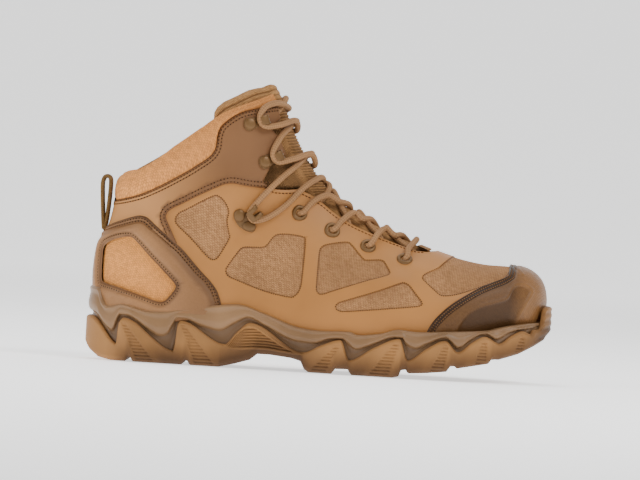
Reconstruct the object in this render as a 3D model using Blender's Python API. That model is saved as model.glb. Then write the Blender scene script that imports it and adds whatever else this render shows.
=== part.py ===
"""Military boot for the right foot, mid height, standing on its sole.

Metres, +Z up, +X towards the toe, -Y towards the boot's outer side.
Tables are in millimetres: x from the heel's back, z from the floor.
"""
import math

import bmesh
import bpy
import numpy as np
from mathutils import Vector
from mathutils.bvhtree import BVHTree

# Driving dimensions, in millimetres
LENGTH = 310.0
UPPER_WALL = 2.0
GAP = 0.3
OUTER, INNER = -1, 1
MM = 0.001

# Sole: plan, side and floor
HEEL_RADIUS = 43.0
TOE_CENTRE = 8.0
OUTER_WIDEST_X, OUTER_WIDEST = 215.0, 58.0
INNER_WIDEST_X, INNER_WIDEST = 222.0, 56.5
OUTER_TOE_ROUND, INNER_TOE_ROUND = 2.15, 2.35
FIN_THICK = 3.2
EDGE_BEVEL = 2.6
RIB_DEPTH = 0.9
MIDSOLE_INSET = FIN_THICK + 0.4
MIDSOLE_BULGE = 3.0
HEEL_CLIP = 9.0

# Upper: columns of facets from the throat to the widest place and on to the feather edge
THROAT_COLUMNS = 2
FIXED_COLUMNS = 2
FIXED_TURN = 0.37
LOW_COLUMNS = 5
OVERLAY_THICK = 1.3
COLLAR_THICK = 2.0
TONGUE_THICK = 5.0
TONGUE_GAP = 0.4
INSOLE_THICK = 4.5
INSOLE_INSET = 1.6
LACE_RADIUS = 2.1

COLOURS = {
    "tan_rubber": (178, 130, 80),
    "brown_foam": (125, 100, 75),
    "tan_fabric": (196, 151, 106),
    "brown_rubber": (105, 77, 50),
    "taupe_panel": (152, 118, 87),
    "collar_fabric": (200, 155, 115),
    "tongue_fabric": (165, 120, 70),
    "webbing": (120, 92, 55),
    "footbed": (90, 74, 58),
    "painted_metal": (140, 108, 70),
    "lace_cord": (160, 120, 85),
}
ROUGHNESS = {"painted_metal": 0.4, "brown_rubber": 0.55}

# One row for each section of the upper: its top or front end, its low or back end, the sideways
# place of each end, the widest reach to each side, where along the section that is, how square
# it is above and below, and the half width of the opening underneath
SECTION_COLUMNS = ("top_x", "top_z", "low_x", "low_z", "ridge", "centre", "outer", "inner",
                   "widest", "round_top", "round_low", "feather")
SECTIONS = (
    (114.0, 195.0, 24.0, 137.0, 0.0, 0.0, 37.0, 37.0, 0.50, 2.3, 2.3, 0.0),
    (121.5, 184.0, 18.5, 121.5, 0.0, 0.0, 38.5, 38.5, 0.50, 2.3, 2.3, 0.0),
    (127.5, 169.0, 15.7, 108.0, 0.0, 0.0, 39.0, 39.0, 0.50, 2.3, 2.3, 0.0),
    (137.0, 149.0, 13.0, 93.0, 0.0, 0.0, 38.5, 38.5, 0.50, 2.2, 2.3, 0.0),
    (150.0, 129.5, 7.8, 75.0, 0.0, 0.0, 37.5, 37.5, 0.50, 2.1, 2.4, 0.0),
    (162.0, 118.0, 6.3, 55.0, 1.0, 0.0, 37.0, 37.0, 0.55, 2.0, 2.5, 0.0),
    (174.0, 109.5, 8.5, 38.0, 2.0, 0.0, 38.0, 38.0, 0.58, 2.0, 2.6, 0.0),
    (185.0, 103.5, 16.0, 28.0, 2.5, -0.5, 38.5, 38.0, 0.60, 2.0, 2.6, 15.0),
    (197.0, 98.0, 42.0, 24.0, 3.0, -1.0, 39.0, 38.0, 0.61, 2.0, 2.5, 27.0),
    (210.0, 92.5, 85.0, 24.0, 3.5, -1.5, 40.0, 38.5, 0.62, 2.0, 2.5, 28.0),
    (222.0, 88.0, 130.0, 21.0, 4.0, -2.0, 44.5, 42.0, 0.64, 2.05, 2.5, 31.0),
    (233.0, 84.5, 170.0, 18.0, 4.5, -1.0, 50.5, 49.5, 0.68, 2.1, 2.6, 37.0),
    (248.0, 80.5, 210.0, 18.5, 5.0, 0.5, 51.5, 52.0, 0.68, 2.2, 2.6, 41.0),
    (264.0, 78.0, 243.0, 22.5, 6.0, 3.0, 48.0, 49.5, 0.66, 2.3, 2.5, 37.0),
    (280.0, 77.5, 270.0, 28.0, 7.0, 6.0, 41.0, 42.5, 0.62, 2.4, 2.4, 28.0),
    (293.5, 74.5, 290.0, 34.0, 8.0, 8.0, 30.0, 31.0, 0.56, 2.4, 2.3, 17.0),
    (302.0, 66.5, 300.5, 41.0, 8.0, 8.0, 16.0, 16.5, 0.50, 2.2, 2.2, 7.0),
    (304.6, 53.0, 304.6, 53.0, 8.0, 8.0, 0.0, 0.0, 0.50, 2.0, 2.0, 0.0),
)
# The collar's edge arches upwards between its back and the throat
COLLAR_ARCH = 5.0
COLLAR_ARCH_SPAN = 0.8
COLLAR_ROW = 1.0
TIP_ROW = float(len(SECTIONS) - 1)

# Throat: section number against how far along the section its edge lies, with tabs at the hooks
THROAT_ROWS = (1.0, 2.0, 2.15, 2.6, 3.15, 3.3, 3.6, 3.85, 4.1, 4.6, 5.2, 8.0, 9.8, 10.4, 10.85)
THROAT_EDGE = (0.045, 0.05, 0.11, 0.085, 0.085, 0.18, 0.235, 0.20, 0.105, 0.08, 0.07, 0.06, 0.055,
               0.035, 0.0)
LEG_ROWS = (1.0, 1.5, 2.0, 2.15, 2.6, 3.15, 3.3, 3.6, 3.85, 4.1)
FOOT_ROWS = (4.6, 5.2, 5.8, 6.3, 7.0, 7.7, 8.4, 9.1, 9.8, 10.4, 10.85, 11.5, 12.2, 12.9, 13.6, 14.2, 14.8,
             15.4, 16.0, 16.5, 17.0)
UPPER_ROWS = LEG_ROWS + FOOT_ROWS

# Side of the sole: lobes of the outsole, each with its valley and its peak
FIN_COLUMNS = ("valley_x", "valley_z", "peak_x", "peak_z")
FINS = (
    (-1.0, 28.6, 2.0, 28.8),
    (22.2, 11.2, 25.4, 28.7),
    (60.6, 8.8, 64.0, 29.0),
    (94.0, 15.2, 110.0, 30.3),
    (146.0, 13.0, 170.5, 22.6),
    (176.6, 9.7, 209.5, 25.7),
    (215.6, 12.0, 240.0, 26.2),
    (248.8, 19.2, 266.5, 30.4),
    (276.3, 26.3, 291.8, 35.2),
    (297.0, 33.4, 307.0, 52.0),
)
# Underside of the sole along its edge: the faces of the lugs and the notches between them
TREAD_X = (0.0, 3.0, 8.0, 17.0, 28.0, 29.5, 31.5, 33.0, 66.5, 68.0, 70.0, 71.5, 91.0, 101.0, 111.0,
           116.0, 124.0, 138.0, 144.5, 147.0, 150.0, 165.5, 167.5, 176.0, 178.5, 206.0, 210.0, 211.5,
           214.5, 216.5, 228.0, 242.0, 244.5, 247.0, 249.0, 270.0, 271.5, 274.5, 277.0, 290.0, 300.0,
           306.0, 310.0)
TREAD_Z = (9.0, 5.0, 1.6, 0.0, 0.0, 2.8, 2.8, 0.0, 0.0, 2.8, 2.8, 0.0, 0.0, 2.6, 5.8,
           10.0, 10.0, 8.7, 7.1, 2.0, 0.0, 0.0, 3.4, 3.6, 0.0, 0.0, 1.0, 5.2,
           5.8, 3.4, 4.2, 5.9, 9.6, 9.9, 8.4, 12.6, 15.2, 15.6, 15.6, 19.8, 25.0,
           28.7, 34.0)
# Floor of the outsole's tray, top edge of the midsole
TRAY_X = (0.0, 20.0, 60.0, 95.0, 112.0, 125.0, 138.0, 147.0, 165.0, 200.0, 213.0, 228.0, 246.0, 260.0,
          272.0, 285.0, 295.0, 305.0, 310.0)
TRAY_Z = (11.5, 6.5, 5.5, 6.5, 10.5, 12.5, 11.0, 8.5, 6.0, 6.2, 8.2, 9.6, 13.2, 15.6,
          18.8, 22.5, 26.5, 32.0, 36.8)
RIM_X = (0.0, 6.0, 9.0, 12.7, 22.6, 43.0, 66.0, 86.0, 101.0, 119.0, 143.0, 156.0, 176.0, 181.0, 196.0,
         209.0, 220.0, 240.0, 270.0, 279.0, 295.0, 310.0)
RIM_Z = (48.6, 47.5, 39.0, 35.6, 37.2, 33.8, 36.4, 40.3, 41.8, 36.9, 29.0, 27.8, 28.3, 26.6, 28.2,
         31.7, 30.9, 32.1, 34.6, 37.1, 40.1, 41.6)


def to_world(x, y, z):
    """Turn a place on the boot, in millimetres, into the part's frame."""
    return Vector(((x - LENGTH / 2) * MM, y * MM, z * MM))


def material(name):
    """Make one Principled material from the colour table."""
    made = bpy.data.materials.new(name)
    made.use_nodes = True
    shader = made.node_tree.nodes["Principled BSDF"]
    linear = [(c / 255 / 12.92 if c < 10.3 else ((c / 255 + 0.055) / 1.055) ** 2.4) for c in COLOURS[name]]
    shader.inputs["Base Color"].default_value = (*linear, 1.0)
    shader.inputs["Roughness"].default_value = ROUGHNESS.get(name, 0.8)
    shader.inputs["Metallic"].default_value = 0.6 if name == "painted_metal" else 0.0
    return made


def add_object(name, mesh, look=None):
    """Close a bmesh into a named object: a part with a look, or a hidden cutter without one."""
    bmesh.ops.remove_doubles(mesh, verts=mesh.verts, dist=0.000002)
    bmesh.ops.recalc_face_normals(mesh, faces=mesh.faces)
    data = bpy.data.meshes.new(name)
    mesh.to_mesh(data)
    mesh.free()
    made = bpy.data.objects.new(name, data)
    if look:
        parts.objects.link(made)
        data.materials.append(looks[look])
    else:
        guides.objects.link(made)
        made.hide_render = True
        made.display_type = "WIRE"
    return made


def cut(target, cutter, operation):
    """Add one exact Boolean to a part."""
    step = target.modifiers.new(operation.lower(), "BOOLEAN")
    step.operation = operation
    step.solver = "EXACT"
    step.object = cutter


def prism(name, outline, low=-90.0, high=90.0):
    """Extrude an outline drawn from the side right across the boot."""
    mesh = bmesh.new()
    face = mesh.faces.new([mesh.verts.new(to_world(x, low, z)) for x, z in outline])
    grown = bmesh.ops.extrude_face_region(mesh, geom=[face])["geom"]
    moved = [item for item in grown if isinstance(item, bmesh.types.BMVert)]
    bmesh.ops.translate(mesh, verts=moved, vec=(0.0, (high - low) * MM, 0.0))
    return add_object(name, mesh)


def smooth(xs, ys, x):
    """Smooth curve through a table, level at its turning points."""
    xs, ys = np.asarray(xs, float), np.asarray(ys, float)
    step = np.diff(xs)
    slope = np.diff(ys) / step
    tangent = np.concatenate(([slope[0]], np.zeros(len(xs) - 2), [slope[-1]]))
    for i in range(1, len(xs) - 1):
        if slope[i - 1] * slope[i] > 0:
            tangent[i] = 2 * slope[i - 1] * slope[i] / (slope[i - 1] + slope[i])
    i = int(np.clip(np.searchsorted(xs, x) - 1, 0, len(step) - 1))
    t = min(max((x - xs[i]) / step[i], 0.0), 1.0)
    held = (1 + 2 * t) * (1 - t) ** 2 * ys[i] + t * t * (3 - 2 * t) * ys[i + 1]
    return held + step[i] * (t * (1 - t) ** 2 * tangent[i] - t * t * (1 - t) * tangent[i + 1])


# Upper's own function: a fan of sections from the collar to the toe

def section(row):
    """Values of the section table at any place between its rows."""
    last = len(SECTIONS) - 1
    i = min(int(row), last - 1)
    t = row - i
    before = np.array(SECTIONS[i - 1] if i > 0 else SECTIONS[0])
    first, second = np.array(SECTIONS[i]), np.array(SECTIONS[i + 1])
    if i + 2 <= last:
        after = np.array(SECTIONS[i + 2])
    else:
        mirrored = dict(zip(SECTION_COLUMNS, first))
        mirrored.update(top_x=first[2], top_z=first[3], low_x=first[0], low_z=first[1])
        after = np.array([mirrored[key] for key in SECTION_COLUMNS])
        after[[6, 7, 11]] *= -1
        after[1] = 2 * second[1] - first[1]
        after[3] = 2 * second[3] - first[3]
    if i == 0:
        before = 2 * first - second
    at = 0.5 * (2 * first + (second - before) * t + (2 * before - 5 * first + 4 * second - after) * t * t
                + (3 * first - before - 3 * second + after) * t ** 3)
    values = dict(zip(SECTION_COLUMNS, at))
    values["feather"] = max(values["feather"], 0.0) if row > 6.0 else 0.0
    return values


def bare_point(row, turn, side):
    """Point of the upper's outside: turn runs from 0 at the top to 1 underneath or behind."""
    s = section(row)
    reach = max(s["outer"] if side == OUTER else s["inner"], 0.0)
    if turn <= 0.5:
        angle = turn * math.pi
        along = s["widest"] * (1 - max(math.cos(angle), 0.0) ** (2 / s["round_top"]))
        out = reach * math.sin(angle) ** (2 / s["round_top"])
    else:
        angle = (turn - 0.5) * math.pi
        along = s["widest"] + (1 - s["widest"]) * math.sin(angle) ** (2 / s["round_low"])
        feather = min(s["feather"], reach)
        out = feather + (reach - feather) * max(math.cos(angle), 0.0) ** (2 / s["round_low"])
    x = s["top_x"] + (s["low_x"] - s["top_x"]) * along
    z = s["top_z"] + (s["low_z"] - s["top_z"]) * along
    y = s["ridge"] + (s["centre"] - s["ridge"]) * along + side * out
    near_collar = min(max((3.0 - row) / 2, 0.0), 1.0)
    z += COLLAR_ARCH * near_collar * math.sin(math.pi * min(along / COLLAR_ARCH_SPAN, 1.0)) ** 2
    return Vector((x, y, z))


def upper_normal(row, turn, side):
    """Direction straight out of the upper."""
    if row > TIP_ROW - 0.01:
        return Vector((1.0, 0.0, 0.0))
    step = 0.004
    near = bare_point(max(row - step, 0.0), turn, side)
    far = bare_point(min(row + step, TIP_ROW), turn, side)
    above = bare_point(row, max(turn - step, 0.0), side)
    below = bare_point(row, min(turn + step, 1.0), side)
    if turn < step:
        above = bare_point(row, step, -side)
    if turn > 1 - step and section(row)["feather"] == 0.0:
        below = bare_point(row, 1 - step, -side)
    return ((far - near).cross(below - above) * side).normalized()


def upper_point(row, turn, side, offset=0.0):
    """Point at a distance outside (or, below zero, inside) the upper's outside."""
    return bare_point(row, turn, side) + upper_normal(row, turn, side) * offset


def turn_at(row, share):
    """Turn at a share of the way along a section, above its widest place."""
    s = section(row)
    return math.acos(max(1 - share / s["widest"], 0.0) ** (s["round_top"] / 2)) / math.pi


def throat_turn(row):
    """Turn of the throat's edge, 0 where the upper is closed over the foot."""
    share = float(np.interp(row, THROAT_ROWS, THROAT_EDGE))
    return turn_at(row, share) if share > 0 else 0.0


def upper_turns(row):
    """Turns of one section's columns of facets: only the first ones follow the throat."""
    top = np.linspace(throat_turn(row), FIXED_TURN, THROAT_COLUMNS, endpoint=False)
    fixed = np.linspace(FIXED_TURN, 0.5, FIXED_COLUMNS + 1)
    return [*top, *fixed, *np.linspace(0.5, 1.0, LOW_COLUMNS + 1)[1:]]


def find_on_upper(x, z):
    """Section number and turn of the outer side's point seen from the side at x, z."""
    row, turn, reach = 7.0, 0.4, 6.0
    for _ in range(26):
        tries = [(row + reach * i / 6, turn + reach * j / 60) for i in range(-6, 7) for j in range(-6, 7)]
        tries = [(r, t) for r, t in tries if 0.0 <= r < TIP_ROW and 0.01 <= t <= 0.99]
        spots = [bare_point(r, t, OUTER) for r, t in tries]
        best = min(range(len(tries)), key=lambda k: math.hypot(spots[k].x - x, spots[k].z - z))
        row, turn = tries[best]
        reach *= 0.72
    return row, turn


def patch(mesh, grid, i, j):
    """Two facets of a grid, always split the same way, so that parallel forms keep their distance."""
    mesh.faces.new((grid[i][j], grid[i][j + 1], grid[i + 1][j + 1]))
    mesh.faces.new((grid[i][j], grid[i + 1][j + 1], grid[i + 1][j]))


def wall(name, look, rows, turns_of, outside, inside):
    """Closed shell between two distances from the upper's function."""
    mesh = bmesh.new()
    layers = {}
    for side in (OUTER, INNER):
        for layer, distance in (("out", outside), ("in", inside)):
            layers[side, layer] = [
                [mesh.verts.new(to_world(*upper_point(row, turn, side, distance(row, turn))))
                 for turn in turns_of(row)] for row in rows]
    for side in (OUTER, INNER):
        out, back = layers[side, "out"], layers[side, "in"]
        for i in range(len(rows) - 1):
            for grid in (out, back):
                for j in range(len(grid[i]) - 1):
                    patch(mesh, grid, i, j)
            pair = (rows[i], rows[i + 1])
            if max(turns_of(row)[0] for row in pair) > 0:
                mesh.faces.new((out[i][0], out[i + 1][0], back[i + 1][0], back[i][0]))
            if turns_of(pair[0])[-1] < 1 or max(section(row)["feather"] for row in pair) > 0:
                mesh.faces.new((out[i][-1], out[i + 1][-1], back[i + 1][-1], back[i][-1]))
        for i in (0, len(rows) - 1):
            if rows[i] < TIP_ROW:
                for j in range(len(out[i]) - 1):
                    mesh.faces.new((out[i][j], out[i][j + 1], back[i][j + 1], back[i][j]))
    return add_object(name, mesh, look)


def filled_upper(name, rows, distance):
    """Solid form of the upper grown by a distance, closed above and below, to cut with."""
    mesh = bmesh.new()
    grids = {}
    for side in (OUTER, INNER):
        grids[side] = [[mesh.verts.new(to_world(*upper_point(row, turn, side, distance)))
                        for turn in [0.0, *upper_turns(row)]] for row in rows]
        for i in range(len(rows) - 1):
            for j in range(len(grids[side][i]) - 1):
                patch(mesh, grids[side], i, j)
    one, two = grids[OUTER], grids[INNER]
    for i in range(len(rows) - 1):
        if max(section(row)["feather"] for row in rows[i:i + 2]) > 0:
            mesh.faces.new((one[i][-1], one[i + 1][-1], two[i + 1][-1], two[i][-1]))
    for j in range(len(one[0]) - 1):
        mesh.faces.new((one[0][j], one[0][j + 1], two[0][j + 1], two[0][j]))
    return add_object(name, mesh)


# Sole: plan outline, side lobes and rings round the edge

PLAN_X = (43.0, 80.0, 115.0, 150.0, 185.0, 215.0)
PLAN_OUTER = (43.0, 43.5, 45.5, 50.5, 56.0, 58.0)
PLAN_INNER_X = (43.0, 80.0, 120.0, 155.0, 190.0, 222.0)
PLAN_INNER = (43.0, 42.0, 40.5, 44.5, 52.5, 56.5)


def plan_edge(x, side):
    """Sideways place of the sole's edge: a round heel, a waist and a rounded toe."""
    if x < HEEL_RADIUS:
        return side * math.sqrt(max(HEEL_RADIUS ** 2 - (HEEL_RADIUS - x) ** 2, 0.0))
    widest_x, widest, power = ((OUTER_WIDEST_X, OUTER_WIDEST, OUTER_TOE_ROUND) if side == OUTER
                               else (INNER_WIDEST_X, INNER_WIDEST, INNER_TOE_ROUND))
    if x > widest_x:
        share = (x - widest_x) / (LENGTH - widest_x)
        reach = max(1 - share ** power, 0.0) ** (1 / power)
        return TOE_CENTRE + (side * widest - TOE_CENTRE) * reach
    if side == OUTER:
        return -smooth(PLAN_X, PLAN_OUTER, x)
    return smooth(PLAN_INNER_X, PLAN_INNER, x)


def fin_top(x):
    """Height of the outsole's wavy edge, from the table of lobes."""
    xs, zs = [], []
    for valley_x, valley_z, peak_x, peak_z in FINS:
        steep = peak_x - valley_x < 6
        xs += [valley_x, valley_x + (peak_x - valley_x) * (0.35 if steep else 0.5), peak_x]
        zs += [valley_z, valley_z + (peak_z - valley_z) * (0.8 if steep else 0.58), peak_z]
    return smooth([*xs, LENGTH], [*zs, FINS[-1][3]], x)


def sole_stations():
    """Places along the sole: each turn of its side and underside, closer round heel and toe."""
    places = {HEEL_RADIUS * (1 - math.cos(math.radians(a))) for a in (0, 10, 20, 31, 43, 56, 70)}
    places |= {LENGTH - (LENGTH - 240) * (1 - math.cos(math.radians(a))) for a in (0, 8, 16, 24, 32)}
    for valley_x, valley_z, peak_x, peak_z in FINS[1:]:
        places |= {valley_x, (valley_x + peak_x) / 2, peak_x, peak_x + 2.5}
    places |= set(TREAD_X) | {80.0, 157.0, 192.0, 260.0}
    kept = []
    for x in sorted(places):
        if not kept or x - kept[-1] > 1.45 or x == LENGTH:
            kept.append(x)
    return kept


def sole_ring(stations, side, inset, height):
    """Points of one ring round the sole, set in from its edge, at a height for each station."""
    edge = [Vector((x, plan_edge(x, side))) for x in stations]
    points = []
    for i, x in enumerate(stations):
        ahead = edge[min(i + 1, len(edge) - 1)] - edge[max(i - 1, 0)]
        inward = Vector((ahead.y, -ahead.x)).normalized() * side
        if i == 0:
            inward = Vector((1.0, 0.0))
        if i == len(edge) - 1:
            inward = Vector((-1.0, 0.0))
        depth = inset(x) if callable(inset) else inset
        spot = edge[i] + inward * depth
        points.append(to_world(spot.x, spot.y, height(x)))
    return points


def sole_solid(name, look, stations, rings, under=None):
    """Closed solid from rings round the sole, closed across at the first and the last ring."""
    mesh = bmesh.new()
    grids = {side: [[mesh.verts.new(p) for p in sole_ring(stations, side, *ring)] for ring in rings]
             for side in (OUTER, INNER)}
    for side in (OUTER, INNER):
        for low, high in zip(grids[side], grids[side][1:]):
            for i in range(len(stations) - 1):
                mesh.faces.new((low[i], low[i + 1], high[i + 1], high[i]))
    for k in (0, -1):
        one, two = grids[OUTER][k], grids[INNER][k]
        shares = under if under and k == 0 else ()
        for i in range(len(stations) - 1):
            lines = []
            for at in (i, i + 1):
                inner_points = [one[at]]
                for share, lift in shares:
                    spot = one[at].co.lerp(two[at].co, share)
                    spot.z += lift(stations[at]) * MM
                    inner_points.append(mesh.verts.new(spot))
                lines.append([*inner_points, two[at]])
            for j in range(len(lines[0]) - 1):
                mesh.faces.new((lines[0][j], lines[0][j + 1], lines[1][j + 1], lines[1][j]))
    return add_object(name, mesh, look)


def tread(x):
    """Height of the underside along its edge: lugs and the notches between them."""
    return float(np.interp(x, TREAD_X, TREAD_Z))


def level(x):
    """No depth: the ground between the channels."""
    return 0.0


def channel(x):
    """Depth of the lengthwise channels between the outer and the middle lugs."""
    return float(np.interp(x, (0, 16, 24, 84, 98, 148, 156, 280, 296), (0, 0, 2.6, 2.6, 0, 0, 2.6, 2.6, 0)))


def tray(x):
    """Height of the floor inside the outsole's tray."""
    return smooth(TRAY_X, TRAY_Z, x)


def rim(x):
    """Height of the midsole's top edge."""
    return smooth(RIM_X, RIM_Z, x)


def build_outsole():
    """Rubber tray: lugs below, a ribbed wall with lobes round the edge, a floor inside."""
    def up_the_fin(share):
        return lambda x: tread(x) + share * (fin_top(x) - tread(x))

    stations = sole_stations()
    rings = (
        (EDGE_BEVEL, tread),
        (0.2, up_the_fin(0.3)),
        (RIB_DEPTH, up_the_fin(0.34)),
        (0.0, up_the_fin(0.38)),
        (RIB_DEPTH, up_the_fin(0.6)),
        (0.1, up_the_fin(0.64)),
        (0.7, lambda x: fin_top(x) - 0.9),
        (FIN_THICK - 0.6, fin_top),
        (FIN_THICK, lambda x: fin_top(x) - 0.6),
        (FIN_THICK, tray),
    )
    groove = ((0.22, level), (0.29, channel), (0.36, level), (0.64, level), (0.71, channel), (0.78, level))
    return sole_solid("outsole", "tan_rubber", stations, rings, groove)


def midsole_rings(grown=0.0):
    """Rings of the midsole's outside, grown by a distance."""
    def room(x):
        highest = max(fin_top(min(x + near, LENGTH)) for near in (0.0, 3.0, 6.0, 9.0))
        return min(max((rim(x) - highest - 1.5) / 3.0, 0.0), 1.0)

    def above_fin(x):
        return min(max(fin_top(x + near) for near in (-1.6, 0.0, 1.6)) + 0.7, rim(x) - 2.4)

    def ridge_height(x):
        clip = float(np.interp(x, (6.0, 12.0), (HEEL_CLIP, 0.0)))
        return max(rim(x) - 4.0 - clip, above_fin(x) + 0.6)

    def top(x):
        return max(rim(x - 4 * grown), rim(x), rim(x + 4 * grown)) + grown

    inset = MIDSOLE_INSET - grown
    return (
        (inset, lambda x: tray(x) + GAP),
        (inset, lambda x: min(fin_top(x) - 0.4, rim(x) - 3.2)),
        (inset, above_fin),
        (lambda x: inset - MIDSOLE_BULGE * room(x), ridge_height),
        (lambda x: inset - 0.6 * MIDSOLE_BULGE * room(x), lambda x: top(x) - 0.6),
        (lambda x: inset + 1.2, top),
        (lambda x: inset + 12.0, lambda x: top(x) - 0.8),
    )


def build_midsole():
    """Foam body standing in the tray, with a raised ridge above the lobes, hollowed by the upper."""
    made = sole_solid("midsole", "brown_foam", sole_stations(), midsole_rings())
    rows = [row for row in UPPER_ROWS if row >= 5.0]
    cut(made, filled_upper("foot_form", rows, GAP), "DIFFERENCE")
    return made


def build_insole():
    """Footbed lying on the midsole inside the feather edge."""
    rows = [row for row in UPPER_ROWS if 6.6 < row < 15.6]
    mesh = bmesh.new()
    lines = []
    for row in rows:
        s = section(row)
        half = s["feather"] - INSOLE_INSET
        ends = [(s["low_x"], s["centre"] + side * half) for side in (OUTER, INNER)]
        line = [mesh.verts.new(to_world(x, y, s["low_z"] + 0.05)) for x, y in ends]
        line += [mesh.verts.new(to_world(x, y, s["low_z"] + INSOLE_THICK)) for x, y in reversed(ends)]
        lines.append(line)
    for one, two in zip(lines, lines[1:]):
        for j in range(4):
            mesh.faces.new((one[j], one[(j + 1) % 4], two[(j + 1) % 4], two[j]))
    mesh.faces.new(lines[0])
    mesh.faces.new(lines[-1])
    return add_object("insole", mesh, "footbed")


def build_upper():
    """Hollow shell, open at the collar, down the throat and underneath."""
    return wall("upper", "tan_fabric", UPPER_ROWS, upper_turns, lambda r, t: 0.0, lambda r, t: -UPPER_WALL)


TONGUE_ROWS = (0.0, 0.5, *[row for row in UPPER_ROWS if row < 11.6])
TONGUE_TOP = ((77.0, 40.0), (77.5, 160.0), (78.5, 167.0), (82.0, 174.0), (88.0, 178.6), (96.0, 183.4),
              (104.0, 186.8), (111.0, 187.6), (150.0, 187.6), (260.0, 110.0), (260.0, 40.0))


def build_tongue():
    """Padded tongue under the throat, its top standing above the collar."""
    def turns_of(row):
        edge = throat_turn(max(row, COLLAR_ROW))
        wrap = 0.5 if row < 3.5 else FIXED_TURN
        sides = np.linspace(FIXED_TURN, wrap, FIXED_COLUMNS + 1)
        return [0.0, edge / 2, edge, (edge + FIXED_TURN) / 2, *sides]

    face = UPPER_WALL + TONGUE_GAP
    made = wall("tongue", "tongue_fabric", TONGUE_ROWS, turns_of, lambda r, t: -face,
                lambda r, t: -face - TONGUE_THICK)
    cut(made, prism("tongue_outline", TONGUE_TOP), "INTERSECT")
    return made


# Overlays: outlines drawn from the side, cut out of shells of the upper's own function

COLLAR_SEAM = ((2.0, 104.6), (21.8, 106.4), (34.8, 111.2), (47.8, 117.3), (63.9, 126.9), (73.4, 134.8),
               (78.9, 141.0), (81.0, 147.5), (81.6, 154.6), (85.1, 161.5), (94.8, 167.4), (106.5, 171.4),
               (140.0, 181.0))
PANEL_EDGE = ((140.0, 120.0), (112.8, 119.9), (99.4, 120.7), (93.6, 121.5), (87.9, 120.7), (80.5, 117.2),
              (62.0, 107.0), (53.2, 102.0), (50.5, 98.7), (50.6, 95.8), (53.5, 89.8), (57.5, 82.4))
COUNTER_EDGE = ((57.0, 80.6), (44.9, 90.2), (39.0, 95.2), (34.9, 96.6), (30.4, 96.2), (21.4, 92.8), (8.4, 85.1),
                (-4.0, 81.0))
COUNTER_FOOT = ((90.2, 41.0), (86.4, 50.9), (75.1, 62.9), (62.6, 76.0))
COUNTER_WINDOW = ((10.4, 72.9), (11.4, 75.8), (15.2, 78.7), (20.9, 81.0), (26.4, 82.1), (30.3, 80.8), (40.7, 70.5),
                  (54.2, 57.5), (58.8, 52.7), (59.2, 50.0), (56.5, 45.7), (52.7, 41.5), (49.0, 40.7),
                  (42.3, 42.3), (21.8, 48.5), (12.6, 50.8), (10.6, 53.0))
TOE_CAP_EDGE = ((228.0, 33.0), (231.6, 39.3), (236.8, 45.2), (242.6, 50.5), (250.5, 56.2), (258.3, 61.0),
                (266.3, 64.7), (274.2, 68.1), (279.5, 70.5), (281.0, 74.0), (281.0, 90.0))
FOOT_LEVEL = 31.5


def shifted(outline, along, up):
    """Outline moved along the boot and upwards."""
    return [(x + along, z + up) for x, z in outline]


def overlay(name, look, rows, thick, outline, cutters=()):
    """Piece of a shell round the upper, cut out by its outline from the side."""
    made = wall(name, look, rows, upper_turns, lambda r, t: GAP + thick, lambda r, t: GAP)
    cut(made, prism(name + "_outline", outline), "INTERSECT")
    for cutter in cutters:
        cut(made, cutter, "DIFFERENCE")
    return made


def build_overlays():
    """Collar band, ankle panel, heel counter and toe cap."""
    leg = [row for row in UPPER_ROWS if row < 4.7]
    overlay("collar", "collar_fabric", [row for row in leg if row < 3.2], COLLAR_THICK,
            [*COLLAR_SEAM, (140.0, 215.0), (2.0, 160.0)])
    panel = [*shifted(COLLAR_SEAM, 0.3, -0.4), *PANEL_EDGE, *shifted(COUNTER_EDGE, 0.3, 0.4)]
    overlay("ankle_panel", "taupe_panel", leg, OVERLAY_THICK, panel)
    rim_form = sole_solid("rim_form", None, sole_stations(), midsole_rings(GAP))
    window = prism("counter_window", COUNTER_WINDOW)
    counter = [*COUNTER_FOOT, *COUNTER_EDGE, (-4.0, FOOT_LEVEL), (COUNTER_FOOT[0][0], FOOT_LEVEL)]
    heel = [row for row in UPPER_ROWS if 2.5 < row < 9.2]
    overlay("heel_counter", "taupe_panel", heel, OVERLAY_THICK, counter, (window, rim_form))
    cap = [*TOE_CAP_EDGE, (320.0, 90.0), (320.0, FOOT_LEVEL), (TOE_CAP_EDGE[0][0], FOOT_LEVEL)]
    front = [row for row in UPPER_ROWS if row > 10.5]
    overlay("toe_cap", "brown_rubber", front, OVERLAY_THICK, cap, (rim_form,))


# Webbing: pull loop behind the heel and lace keeper at the bottom of the throat

PULL_LOOP = ((7.0, 84.5), (9.0, 88.5), (10.7, 96.0), (12.0, 108.0), (12.6, 117.0), (11.5, 121.6),
             (8.6, 122.8), (6.2, 120.6), (4.9, 113.0), (4.9, 104.0), (5.4, 94.0), (6.0, 87.5))
LOOP_THICK = 1.3
LOOP_WIDTH = 15.0


def build_pull_loop():
    """Loop of webbing standing on edge behind the collar."""
    middle = [Vector(point) for point in PULL_LOOP]
    mesh = bmesh.new()
    lines = []
    for i, spot in enumerate(middle):
        ahead = middle[(i + 1) % len(middle)] - middle[i - 1]
        out = Vector((-ahead.y, ahead.x)).normalized() * LOOP_THICK / 2
        corners = [(out, -1), (out, 1), (-out, 1), (-out, -1)]
        lines.append([mesh.verts.new(to_world(spot.x + o.x, side * LOOP_WIDTH / 2, spot.y + o.y))
                      for o, side in corners])
    for i in range(len(lines)):
        one, two = lines[i - 1], lines[i]
        for j in range(4):
            mesh.faces.new((one[j], one[(j + 1) % 4], two[(j + 1) % 4], two[j]))
    return add_object("pull_loop", mesh, "webbing")


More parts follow.
